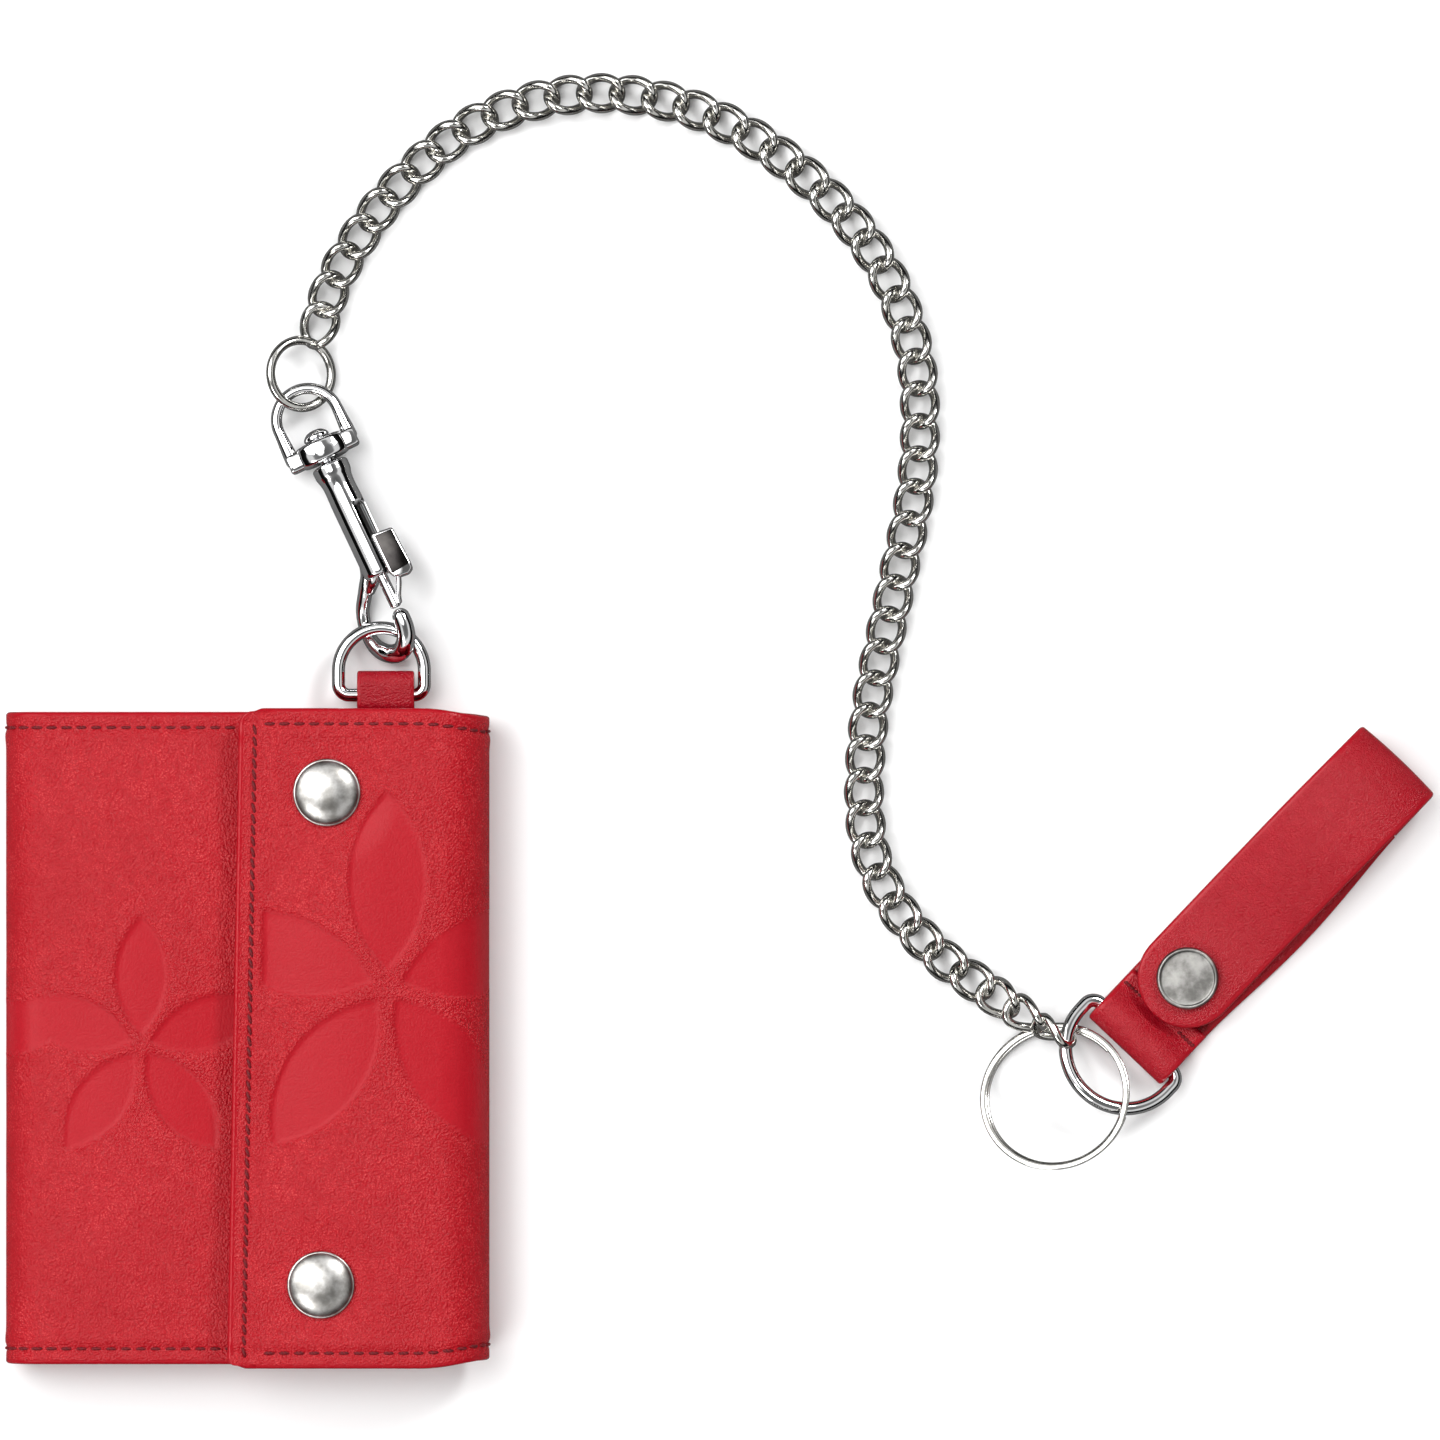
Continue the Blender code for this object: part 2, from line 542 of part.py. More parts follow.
    collarHalf = 6.85
    outline = roundedOutline([(-collarHalf, collarLow), (collarHalf, collarLow), (collarHalf - 1.0, collarHigh),
                              (-collarHalf + 1.0, collarHigh)], [0.6, 0.6, 1.2, 1.2], 3)
    count = len(outline)
    points = [bailPoint(s, a, r) for r in (-2.3, 2.3) for s, a in outline]
    faces = [(k, (k + 1) % count, count + (k + 1) % count, count + k) for k in range(count)]
    faces += [tuple(range(count))[::-1], tuple(range(count, 2 * count))]
    bail = addMesh("swivel_bail", points, faces, chrome, bailPivot)
    legs, archAlong, legWire = 5.85, -38.2, 1.0
    arch = [(-legs, collarLow + 1.2), (-legs, -36.2)]
    arch += [(-legs * math.cos(turn), archAlong - legs * math.sin(turn)) for turn in np.linspace(0, math.pi, 15)]
    arch += [(legs, -36.2), (legs, collarLow + 1.2)]
    bow = sweep("bail_bow", [bailPoint(*p) for p in arch], circle(legWire, 10), chrome, bailPivot, fixed=HOOK_FACE)
    joinWith(bail, bow)
    hole = turned("bail_hole", [(0, collarLow - 1), (1.85, collarLow - 1), (1.85, collarHigh + 1),
                                (0, collarHigh + 1)], HOOK_TIP, HOOK_AXIS, chrome, bailPivot, 20)
    cutWith(bail, hole)


def makeJumpRing(materials, pivot):
    """The round wire ring between the bail and the chain, tipped over one leg and under the other."""
    level = unit(0.951 * HOOK_SIDE + 0.312 * HOOK_AXIS * np.array([1.0, 1.0, 0.0]))
    level = unit(level * np.array([1.0, 1.0, 0.0]))
    fall = math.asin(JUMP_RING_RISE)
    across = level * math.cos(fall) - UP * math.sin(fall)
    other = np.cross(UP, level)
    centre = np.array(JUMP_RING_CENTRE)
    route = [
        centre + JUMP_RING_RADIUS * (math.cos(turn) * across + math.sin(turn) * other)
        for turn in np.linspace(0, 2 * math.pi, 36, endpoint=False)
    ]
    sweep("jump_ring", route, circle(JUMP_RING_WIRE, 10), materials["nickel"], pivot, closed=True,
          fixed=np.cross(across, other))


def keyRingFrame():
    """The key ring's two directions in its plane: the one that rises, and the level one."""
    level = unit((0.566, -0.824, 0.0))
    rise = math.asin(KEY_RING_RISE)
    return level * math.cos(rise) + UP * math.sin(rise), np.cross(UP, level)


def makeKeyRing(materials, pivot):
    """The split ring: a flat wire wound twice round."""
    across, other = keyRingFrame()
    normal = np.cross(across, other)
    centre = np.array(KEY_RING_CENTRE)
    wireHalf, wireWide = KEY_RING_WIRE_HALF, KEY_RING_WIRE_WIDE
    steps = 96
    route = []
    for k in range(steps + 1):
        share = k / steps
        turn = 4 * math.pi * share + KEY_RING_START
        height = (share - 0.5) * 2 * KEY_RING_PITCH
        route.append(centre + KEY_RING_RADIUS * (math.cos(turn) * across + math.sin(turn) * other) + normal * height)
    section = [(-wireWide, -wireHalf + 0.15), (-wireWide + 0.2, -wireHalf), (wireWide - 0.2, -wireHalf),
               (wireWide, -wireHalf + 0.15), (wireWide, wireHalf - 0.15), (wireWide - 0.2, wireHalf),
               (-wireWide + 0.2, wireHalf), (-wireWide, wireHalf - 0.15)]
    sweep("key_ring", route, section, materials["chrome"], pivot, fixed=normal)


def makeChain(materials):
    """The curb chain's envelope, from the jump ring to the belt loop's D-ring."""
    route = smoothRoute(CHAIN_ROUTE, 7.6)
    curve = bpy.data.curves.new("chain", "CURVE")
    curve.dimensions = "3D"
    curve.bevel_depth = CHAIN_RADIUS * METRE
    curve.bevel_resolution = 2
    curve.use_fill_caps = True
    spline = curve.splines.new("POLY")
    spline.points.add(len(route) - 1)
    for point, place in zip(spline.points, route):
        point.co = (*(place * METRE), 1.0)
    curve.materials.append(materials["nickel"])
    chain = bpy.data.objects.new("chain", curve)
    bpy.context.collection.objects.link(chain)


def upperStrapHeight(along):
    """The centreline height of the belt loop's upper layer, which rises towards the bend."""
    closed = STRAP_LEATHER + 3.1 + STRAP_LEATHER / 2
    share = min(max((along - 26.0) / 34.0, 0.0), 1.0)
    return closed + (LOOP_BEND_Z + LOOP_BEND_RADIUS - closed) * share * share * (3 - 2 * share)


def makeBeltLoop(materials, pivot):
    """The strap that closes round a belt: lower layer, bend, upper layer and its snap."""
    leather, metal = materials["red_leather"], materials["snap_metal"]
    half = STRAP_WIDTH / 2
    barS = float(np.dot(np.subtract(STRAP_RING_BAR, (*LOOP_START, 0.0)), LOOP_ALONG))
    barZ = STRAP_RING_BAR[2]
    wrap = barZ - STRAP_LEATHER / 2
    middle = STRAP_LEATHER / 2
    line = [(LOOP_BEND_S - GAP, middle), (50.0, middle), (30.0, middle), (12.0, middle)]
    for turn in np.linspace(-math.pi / 2, -1.5 * math.pi, 15):
        line.append((barS + wrap * math.cos(turn), barZ + wrap * math.sin(turn)))
    tail = STRAP_LEATHER + GAP + middle
    tailStart, tailEnd, tailTip = barS + 0.6, 9.4, 12.6
    for share in np.linspace(0.15, 1, 6):
        ease = share * share * (3 - 2 * share)
        line.append((tailStart + (tailEnd - tailStart) * share, barZ + wrap + (tail - barZ - wrap) * ease))
    line.append((tailTip, tail))
    near, far = LOWER_STRAP_OFFSET - half, LOWER_STRAP_OFFSET + half
    lower = ribbon("belt_strap_lower", line, STRAP_LEATHER, loopPoint, near, far, leather)
    bend = [
        (LOOP_BEND_S + LOOP_BEND_RADIUS * math.cos(turn), LOOP_BEND_Z + LOOP_BEND_RADIUS * math.sin(turn))
        for turn in np.linspace(-math.pi / 2, math.pi / 2, 15)
    ]
    ribbon("belt_strap_bend", bend, STRAP_LEATHER, loopPoint, -half, half, leather)

    tip = LOOP_SNAP_S - 9.2
    stations = np.concatenate([np.linspace(0, 1, 9)[:-1] ** 1.6 * half, np.linspace(half, 50.0, 12)])
    ends = np.append(stations + tip, LOOP_BEND_S - GAP)
    points, size = [], 4
    for s in ends:
        reach = half * math.sqrt(max(1 - max(1 - (s - tip) / half, 0.0) ** 2, 0.0016))
        z = upperStrapHeight(s)
        for t, side in ((-reach, -1), (reach, -1), (reach, 1), (-reach, 1)):
            points.append(loopPoint(s, z + side * STRAP_LEATHER / 2, UPPER_STRAP_OFFSET + t))
    faces = []
    for k in range(len(ends) - 1):
        for m in range(size):
            n = (m + 1) % size
            faces.append((k * size + m, k * size + n, (k + 1) * size + n, (k + 1) * size + m))
    faces += [tuple(range(size))[::-1], tuple(range((len(ends) - 1) * size, len(ends) * size))]
    upper = addMesh("belt_strap_upper", points, faces, leather, pivot)

    place = loopPoint(LOOP_SNAP_S, 0.0, UPPER_STRAP_OFFSET)[:2]
    skin = STRAP_LEATHER + 3.1
    top = skin + STRAP_LEATHER
    cap = [(0, top + 1.5), (4.2, top + 1.5), (4.6, top + 1.75), (5.2, top + 1.7), (5.75, top + 1.2),
           (5.75, top + GAP), (1.5, top + GAP), (1.5, skin), (0, skin)]
    turned("belt_snap_cap", cap, (*place, 0), UP, metal, pivot, 32)
    socket = [(3.0, skin - 1.5), (4.6, skin - 1.5), (4.9, skin - 1.1), (4.9, skin - GAP), (3.0, skin - GAP)]
    turned("belt_snap_socket", socket, (*place, 0), UP, metal, pivot, 24)
    base = STRAP_LEATHER + GAP
    stud = [(0, base), (4.6, base), (4.6, base + 0.5), (2.4, base + 0.9), (1.9, base + 1.4), (1.9, base + 2.2),
            (1.4, base + 2.5), (0, base + 2.5)]
    turned("belt_snap_stud", stud, (*place, 0), UP, metal, None, 24)
    rivet = [(0, 0.1), (3.4, 0.1), (3.4, 0.6), (1.5, 0.7), (1.5, STRAP_LEATHER), (0, STRAP_LEATHER)]
    turned("belt_snap_rivet", rivet, (*place, 0), UP, metal, None, 24)
    punch(upper, "cap", place, 1.9, skin - 1, top + 1, leather)
    punch(lower, "rivet", place, 1.9, -1, STRAP_LEATHER + 1, leather)
    punch(lower, "rivet_head", place, 3.8, -1, 0.9, leather)


def main():
    clearScene()
    materials = makeMaterials()
    flapPivot = addPivot("flap_hinge", (FLAP_HINGE_X, 0.0, FLAP_TOP / 2))
    panelPivot = addPivot("panel_hinge", (PANEL_HINGE_X, 0.0, PANEL_TOP / 2))
    triggerPivot = addPivot("trigger_axis", HOOK_TIP)
    bailPivot = addPivot("bail_axis", HOOK_COLLAR)
    tabRingPivot = addPivot("tab_ring_axis", TAB_RING_BAR)
    strapRingPivot = addPivot("strap_ring_axis", STRAP_RING_BAR)
    jumpPivot = addPivot("jump_ring_axis", bailPoint(0.0, -44.05))
    keyPivot = addPivot("key_ring_axis", KEY_RING_CENTRE)
    loopPivot = addPivot("belt_loop_axis", loopPoint(LOOP_BEND_S, LOOP_BEND_Z, 0.0))

    makeBackPanel(materials)
    makeInnerPanel(materials, panelPivot)
    makeFlap(materials, flapPivot)
    for label, place in SNAP_PLACES.items():
        makeSnap(place, label, materials, flapPivot, panelPivot)
    makeTab(materials)
    tabRingTilt = math.radians(-3.0)
    out = np.array([0.0, math.cos(tabRingTilt), math.sin(tabRingTilt)])
    makeDRing("wallet_d_ring", TAB_RING_BAR, (1.0, 0.0, 0.0), out, 7.95, 12.5, RING_WIRE,
              materials["chrome"], tabRingPivot)
    makeHook(materials, triggerPivot, bailPivot)
    makeJumpRing(materials, jumpPivot)
    makeChain(materials)
    makeKeyRing(materials, keyPivot)
    tilt = math.radians(STRAP_RING_TILT)
    out = -LOOP_ALONG * math.cos(tilt) + UP * math.sin(tilt)
    makeDRing("strap_d_ring", STRAP_RING_BAR, LOOP_ACROSS, out, STRAP_RING_HALF, STRAP_RING_DEPTH,
              STRAP_RING_WIRE, materials["chrome"], strapRingPivot)
    makeBeltLoop(materials, loopPivot)


main()
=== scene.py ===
import math

import bmesh
import bpy
import numpy as np
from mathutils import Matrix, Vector


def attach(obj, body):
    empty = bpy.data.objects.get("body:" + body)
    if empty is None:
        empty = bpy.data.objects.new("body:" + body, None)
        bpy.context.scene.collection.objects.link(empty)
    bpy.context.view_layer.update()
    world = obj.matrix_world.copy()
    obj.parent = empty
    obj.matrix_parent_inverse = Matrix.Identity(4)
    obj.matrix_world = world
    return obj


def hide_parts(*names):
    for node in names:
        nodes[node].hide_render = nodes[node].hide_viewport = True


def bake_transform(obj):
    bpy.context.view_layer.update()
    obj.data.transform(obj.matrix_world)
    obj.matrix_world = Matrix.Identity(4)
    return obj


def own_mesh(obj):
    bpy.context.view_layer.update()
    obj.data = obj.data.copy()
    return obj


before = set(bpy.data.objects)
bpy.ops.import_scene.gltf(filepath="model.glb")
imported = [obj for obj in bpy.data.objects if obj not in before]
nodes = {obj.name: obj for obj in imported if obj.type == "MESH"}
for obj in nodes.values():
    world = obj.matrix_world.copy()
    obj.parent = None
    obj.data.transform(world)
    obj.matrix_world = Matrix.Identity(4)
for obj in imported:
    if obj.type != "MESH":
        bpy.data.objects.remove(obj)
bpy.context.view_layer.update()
mm = 0.001
tau = 2 * math.pi
up = np.array([0.0, 0.0, 1.0])
rng = np.random.default_rng(7)


# ---- small geometry tools; every length is in millimetres until putMesh makes it metres

def unit(v):
    v = np.asarray(v, float)
    return v / np.linalg.norm(v, axis=-1, keepdims=True)


def ease(t):  # 0 to 1 with level ends: 3t^2 - 2t^3
    t = np.clip(t, 0.0, 1.0)
    return t * t * (3 - 2 * t)


def bump(x, middle, width):  # a bell of height 1
    return np.exp(-(((x - middle) / width) ** 2))


def smoothRoute(points, spacing):
    # a Catmull-Rom curve through the points, then points at an even spacing along it
    p = np.array(points, float)
    p = np.concatenate([[2 * p[0] - p[1]], p, [2 * p[-1] - p[-2]]])
    a, b, c, d = (p[k : len(p) - 3 + k, None, :] for k in range(4))
    t = np.linspace(0, 1, 24, endpoint=False)[None, :, None]
    fine = 0.5 * (2 * b + (c - a) * t + (2 * a - 5 * b + 4 * c - d) * t**2
                  + (3 * b - a - 3 * c + d) * t**3)
    fine = np.concatenate([fine.reshape(-1, 3), p[-2:-1]])
    gone = np.concatenate([[0], np.cumsum(np.linalg.norm(np.diff(fine, axis=0), axis=1))])
    places = np.linspace(0, gone[-1], max(2, int(round(gone[-1] / spacing)) + 1))
    return np.stack([np.interp(places, gone, fine[:, k]) for k in range(3)], axis=1)


def along(route, places):
    # where a route is at these lengths, and its direction there
    gone = np.concatenate([[0], np.cumsum(np.linalg.norm(np.diff(route, axis=0), axis=1))])
    step = np.gradient(route, axis=0)
    at = np.stack([np.interp(places, gone, route[:, k]) for k in range(3)], axis=-1)
    way = np.stack([np.interp(places, gone, step[:, k]) for k in range(3)], axis=-1)
    return at, unit(way)


def gridFaces(rows, columns, closeRows=False, closeColumns=True, start=0):
    # quads between the rows of a grid of points, joined round where a direction is closed
    r = np.arange(rows if closeRows else rows - 1)[:, None]
    c = np.arange(columns if closeColumns else columns - 1)[None, :]
    r2, c2 = (r + 1) % rows, (c + 1) % columns
    quads = np.stack(np.broadcast_arrays(r * columns + c, r * columns + c2,
                                         r2 * columns + c2, r2 * columns + c), axis=-1)
    return quads.reshape(-1, 4) + start


def putMesh(name, points, faces, finish, facts=None, sharp=35, merge=1e-4):
    # one mesh object at the origin, doubles merged and faces outwards
    mesh = bpy.data.meshes.new(name)
    mesh.from_pydata((np.asarray(points, float) * mm).tolist(), [],
                     faces.tolist() if isinstance(faces, np.ndarray) else [tuple(f) for f in faces])
    for label, values in (facts or {}).items():
        layer = mesh.attributes.new(label, "FLOAT", "POINT")
        layer.data.foreach_set("value", np.asarray(values, np.float32).ravel())
    work = bmesh.new()
    work.from_mesh(mesh)
    bmesh.ops.remove_doubles(work, verts=work.verts, dist=merge * mm)
    bmesh.ops.recalc_face_normals(work, faces=work.faces)
    work.to_mesh(mesh)
    work.free()
    mesh.materials.append(finish)
    piece = bpy.data.objects.new(name, mesh)
    bpy.context.scene.collection.objects.link(piece)
    mesh.shade_smooth()
    if sharp:
        mesh.set_sharp_from_angle(angle=math.radians(sharp))
    return piece


def tube(route, radius, sides=16, closed=False, fixed=up, section=None, roundEnds=True):
    # a section carried along a route. radius is one number or one for each point.
    route = np.asarray(route, float)
    if closed:
        way = unit(np.roll(route, -1, axis=0) - np.roll(route, 1, axis=0))
    else:
        way = unit(np.gradient(route, axis=0))
    radius = np.broadcast_to(np.asarray(radius, float), len(route))
    if not closed and roundEnds:
        # both ends are half balls: the same section, smaller, further out
        turn = np.linspace(0, math.pi / 2, 6)[1:]
        route = np.concatenate([
            (route[0] - way[0] * radius[0] * np.sin(turn)[:, None])[::-1], route,
            route[-1] + way[-1] * radius[-1] * np.sin(turn)[:, None]])
        shrink = np.maximum(np.cos(turn), 0.02)
        way = np.concatenate([np.repeat(way[:1], 5, axis=0), way, np.repeat(way[-1:], 5, axis=0)])
        radius = np.concatenate([(radius[0] * shrink)[::-1], radius, radius[-1] * shrink])
    across = unit(np.cross(way, np.broadcast_to(np.asarray(fixed, float), way.shape)))
    raised = np.cross(across, way)
    if section is None:
        turn = np.linspace(0, tau, sides, endpoint=False)
        section = np.stack([np.cos(turn), np.sin(turn)], axis=1)
    points = (route[:, None] + radius[:, None, None]
              * (section[None, :, :1] * across[:, None] + section[None, :, 1:] * raised[:, None]))
    rows, columns = points.shape[:2]
    faces = gridFaces(rows, columns, closeRows=closed).tolist()
    if not closed:
        faces += [list(range(columns))[::-1], list(range((rows - 1) * columns, rows * columns))]
    return points.reshape(-1, 3), faces


def lathe(profile, centre, axis, sides=48):
    # (radius, height) pairs turned round an axis, closed where the profile starts and ends on it
    profile = np.array(profile, float)
    axis = unit(axis)
    side = unit(np.cross(axis, up if abs(axis[2]) < 0.9 else np.array([1.0, 0.0, 0.0])))
    other = np.cross(axis, side)
    turn = np.linspace(0, tau, sides, endpoint=False)
    points = (np.asarray(centre, float) + profile[:, None, 1:] * axis
              + profile[:, None, :1] * roundTurn(turn, side, other)[None])
    closedProfile = profile[0, 0] > 1e-6
    return points.reshape(-1, 3), gridFaces(len(profile), sides, closeRows=closedProfile).tolist()


def softProfile(profile, radius=0.25, steps=4):
    # a profile whose inner corners are rounded by quarter bends of about the radius
    p = np.array(profile, float)
    made = [p[0]]
    for before, corner, after in zip(p, p[1:], p[2:]):
        back, ahead = before - corner, after - corner
        cut = min(radius, np.linalg.norm(back) * 0.45, np.linalg.norm(ahead) * 0.45)
        first, last = corner + unit(back) * cut, corner + unit(ahead) * cut
        t = np.linspace(0, 1, steps)[:, None]
        made += list((1 - t) ** 2 * first + 2 * t * (1 - t) * corner + t**2 * last)
    return np.array(made + [p[-1]])


def squaredRound(sides, power):
    # a round outline pushed towards a square: the sign and power of the cosine and the sine
    turn = np.linspace(0, tau, sides, endpoint=False)
    return np.stack([np.sign(w) * np.abs(w) ** power for w in (np.cos(turn), np.sin(turn))], axis=1)


def roundTurn(turn, across, other):
    # directions on a circle between two axes: cos across, sin the other
    return np.cos(turn)[:, None] * across + np.sin(turn)[:, None] * other


def slab(low, high):
    # a closed block between an outline's lower and upper points
    n = len(low)
    sides = [[k, (k + 1) % n, n + (k + 1) % n, n + k] for k in range(n)]
    return list(low) + list(high), sides + [list(range(n))[::-1], list(range(n, 2 * n))]


def softenEdges(piece, width, segments):
    soft = piece.modifiers.new("softEdge", "BEVEL")
    soft.width, soft.segments, soft.limit_method = width * mm, segments, "ANGLE"


def gather(parts):
    # several (points, faces) as one
    points, faces, count = [], [], 0
    for p, f in parts:
        points.append(p)
        faces += [[i + count for i in face] for face in f]
        count += len(p)
    return np.concatenate(points), faces


# ---- shader tools

class Wire:
    # a node's output that can stand in sums
    def __init__(self, tree, out=None):
        self.tree, self.out = tree, out

    def node(self, kind, settings=None, sockets=None, out=0):
        made = self.tree.nodes.new(kind)
        for name, value in (settings or {}).items():
            if name == "stops":
                ramp = made.color_ramp.elements
                for k, (place, colour) in enumerate(value):
                    stop = ramp[k] if k < 2 else ramp.new(place)
                    stop.position = place
                    stop.color = (*colour, 1.0) if isinstance(colour, tuple) else (colour,) * 3 + (1.0,)
            else:
                setattr(made, name, value)
        for name, value in (sockets or {}).items():
            if isinstance(value, Wire):
                self.tree.links.new(value.out, made.inputs[name])
            else:
                made.inputs[name].default_value = value
        return Wire(self.tree, made.outputs[out])

    def sum(self, operation, first, second):
        return self.node("ShaderNodeMath", {"operation": operation}, {0: first, 1: second})

    def __add__(self, other):
        return self.sum("ADD", self, other)

    def __sub__(self, other):
        return self.sum("SUBTRACT", self, other)

    def __rsub__(self, other):
        return self.sum("SUBTRACT", other, self)

    def __mul__(self, other):
        return self.sum("MULTIPLY", self, other)

    __radd__ = __add__

    def mixed(self, first, second):
        # self is the share of the second colour
        fill = [x if isinstance(x, Wire) else (*x, 1.0) for x in (first, second)]
        return self.node("ShaderNodeMix", {"data_type": "RGBA"}, {0: self, 6: fill[0], 7: fill[1]}, 2)

    def noise(self, coords, scale, detail=3.0, rough=0.55):
        return self.node("ShaderNodeTexNoise", None,
                         {"Vector": coords, "Scale": scale, "Detail": detail, "Roughness": rough})

    def ramp(self, low, high):
        # 0 below low, 1 above high
        return self.node("ShaderNodeMapRange", {"interpolation_type": "SMOOTHSTEP"},
                         {0: self, 1: low, 2: high, 3: 0.0, 4: 1.0})


def newFinish(name, fixed):
    # a Principled material with its plain sockets set; returns it, its shader and a wire to draw from
    finish = bpy.data.materials.new(name)
    finish.use_nodes = True
    shader = finish.node_tree.nodes["Principled BSDF"]
    for label, value in fixed.items():
        shader.inputs[label].default_value = value
    return finish, shader, Wire(finish.node_tree)


def feed(shader, wires):
    for label, wire in wires.items():
        wire.tree.links.new(wire.out, shader.inputs[label])


# ---- camera, floor and lights

print("stage: camera and lights")
view = {"centre": (87.4, 58.8), "frameWidth": 266.4, "lens": 600.0, "sensor": 36.0, "level": 9.0}
camera = bpy.data.cameras.new("camera")
camera.lens, camera.sensor_width = view["lens"], view["sensor"]
camera.clip_start, camera.clip_end = 0.5, 50.0
cameraObject = bpy.data.objects.new("camera", camera)
bpy.context.scene.collection.objects.link(cameraObject)
distance = view["frameWidth"] * view["lens"] / view["sensor"]
cameraObject.location = (view["centre"][0] * mm, view["centre"][1] * mm,
                         (view["level"] + distance) * mm)
bpy.context.scene.camera = cameraObject
bpy.context.scene.view_settings.view_transform = "Standard"


def addFloor():
    # a plain pale table top, a fine flat grid; seen in reflections it is painted nearly black, a painted dark
    # reflection
    finish, shader, wire = newFinish("paleFloor", {"Roughness": 0.9, "Specular IOR Level": 0.0})
    coords = wire.node("ShaderNodeTexCoord", out="Object")
    tint = wire.noise(coords, 6.0, 2.0).mixed((0.92, 0.92, 0.92), (0.94, 0.94, 0.94))
    # painted reflection: glossy rays see the floor nearly black
    paintedDarkReflection = wire.node("ShaderNodeLightPath", out="Is Glossy Ray")
    feed(shader, {"Base Color": (paintedDarkReflection * 0.86).mixed(tint, (0.0, 0.0, 0.0))})
    edge = np.linspace(-2600, 2600, 9)
    x, y = np.meshgrid(edge, edge, indexing="ij")
    points = np.stack([x + 87, y + 59, np.full_like(x, -0.05)], axis=-1).reshape(-1, 3)
    mesh = bpy.data.meshes.new("floor")
    mesh.from_pydata((points * mm).tolist(), [], gridFaces(9, 9, False, False)[:, ::-1].tolist())
    mesh.materials.append(finish)
    floor = bpy.data.objects.new("floor", mesh)
    bpy.context.scene.collection.objects.link(floor)


lights = {  # place and size in mm, power in watts
    "keyLeft": {"at": (-900, 500, 1100), "size": (1100, 1100), "power": 12.0},
    "loopEnd": {"at": (880, 930, 1050), "size": (420, 420), "power": 11.0},
    "ringFold": {"at": (-640, -860, 1150), "size": (700, 240), "power": 7.5},
}
studio = {  # brightness by height: below, at and above the horizon, then a soft spot up on the left
    "bands": [(0.0, 0.85), (0.5, 0.60), (0.52, 0.0), (0.75, 0.01), (0.78, 1.15), (0.90, 1.22), (0.93, 0.34),
              (1.0, 0.18)],
    "sky": 0.62, "spotWay": (-0.25, 0.20, 1.0), "spotEdge": (0.945, 0.99), "spot": 5.2,
}


def addLights():
    target = np.array([*view["centre"], 0.0])
    for name, light in lights.items():
        lamp = bpy.data.lights.new(name, "AREA")
        lamp.shape = "RECTANGLE"
        lamp.size, lamp.size_y = light["size"][0] * mm, light["size"][1] * mm
        lamp.energy = light["power"]
        holder = bpy.data.objects.new(name, lamp)
        bpy.context.scene.collection.objects.link(holder)
        holder.location = [x * mm for x in light["at"]]
        holder.rotation_euler = Vector(target - np.array(light["at"])).to_track_quat("-Z", "Y").to_euler()
    world = bpy.data.worlds.new("studio")
    bpy.context.scene.world = world
    world.use_nodes = True
    sky = Wire(world.node_tree)
    way = sky.node("ShaderNodeTexCoord", out="Generated")
    height = sky.node("ShaderNodeSeparateXYZ", None, {0: way}, "Z")
    toward = sky.node("ShaderNodeVectorMath", {"operation": "DOT_PRODUCT"},
                      {0: way, 1: tuple(unit(studio["spotWay"]).tolist())}, "Value")
    shade = sky.node("ShaderNodeValToRGB", {"stops": studio["bands"]}, {0: height * 0.5 + 0.5})
    glow = toward.ramp(*studio["spotEdge"]) * studio["spot"]
    total = sky.node("ShaderNodeSeparateColor", None, {0: shade}) * studio["sky"] + glow
    back = world.node_tree.nodes["Background"]
    world.node_tree.links.new(total.out, back.inputs["Strength"])
    back.inputs["Color"].default_value = (1.0, 1.0, 1.0, 1.0)


addFloor()
addLights()

# ---- finishes

print("stage: finishes")


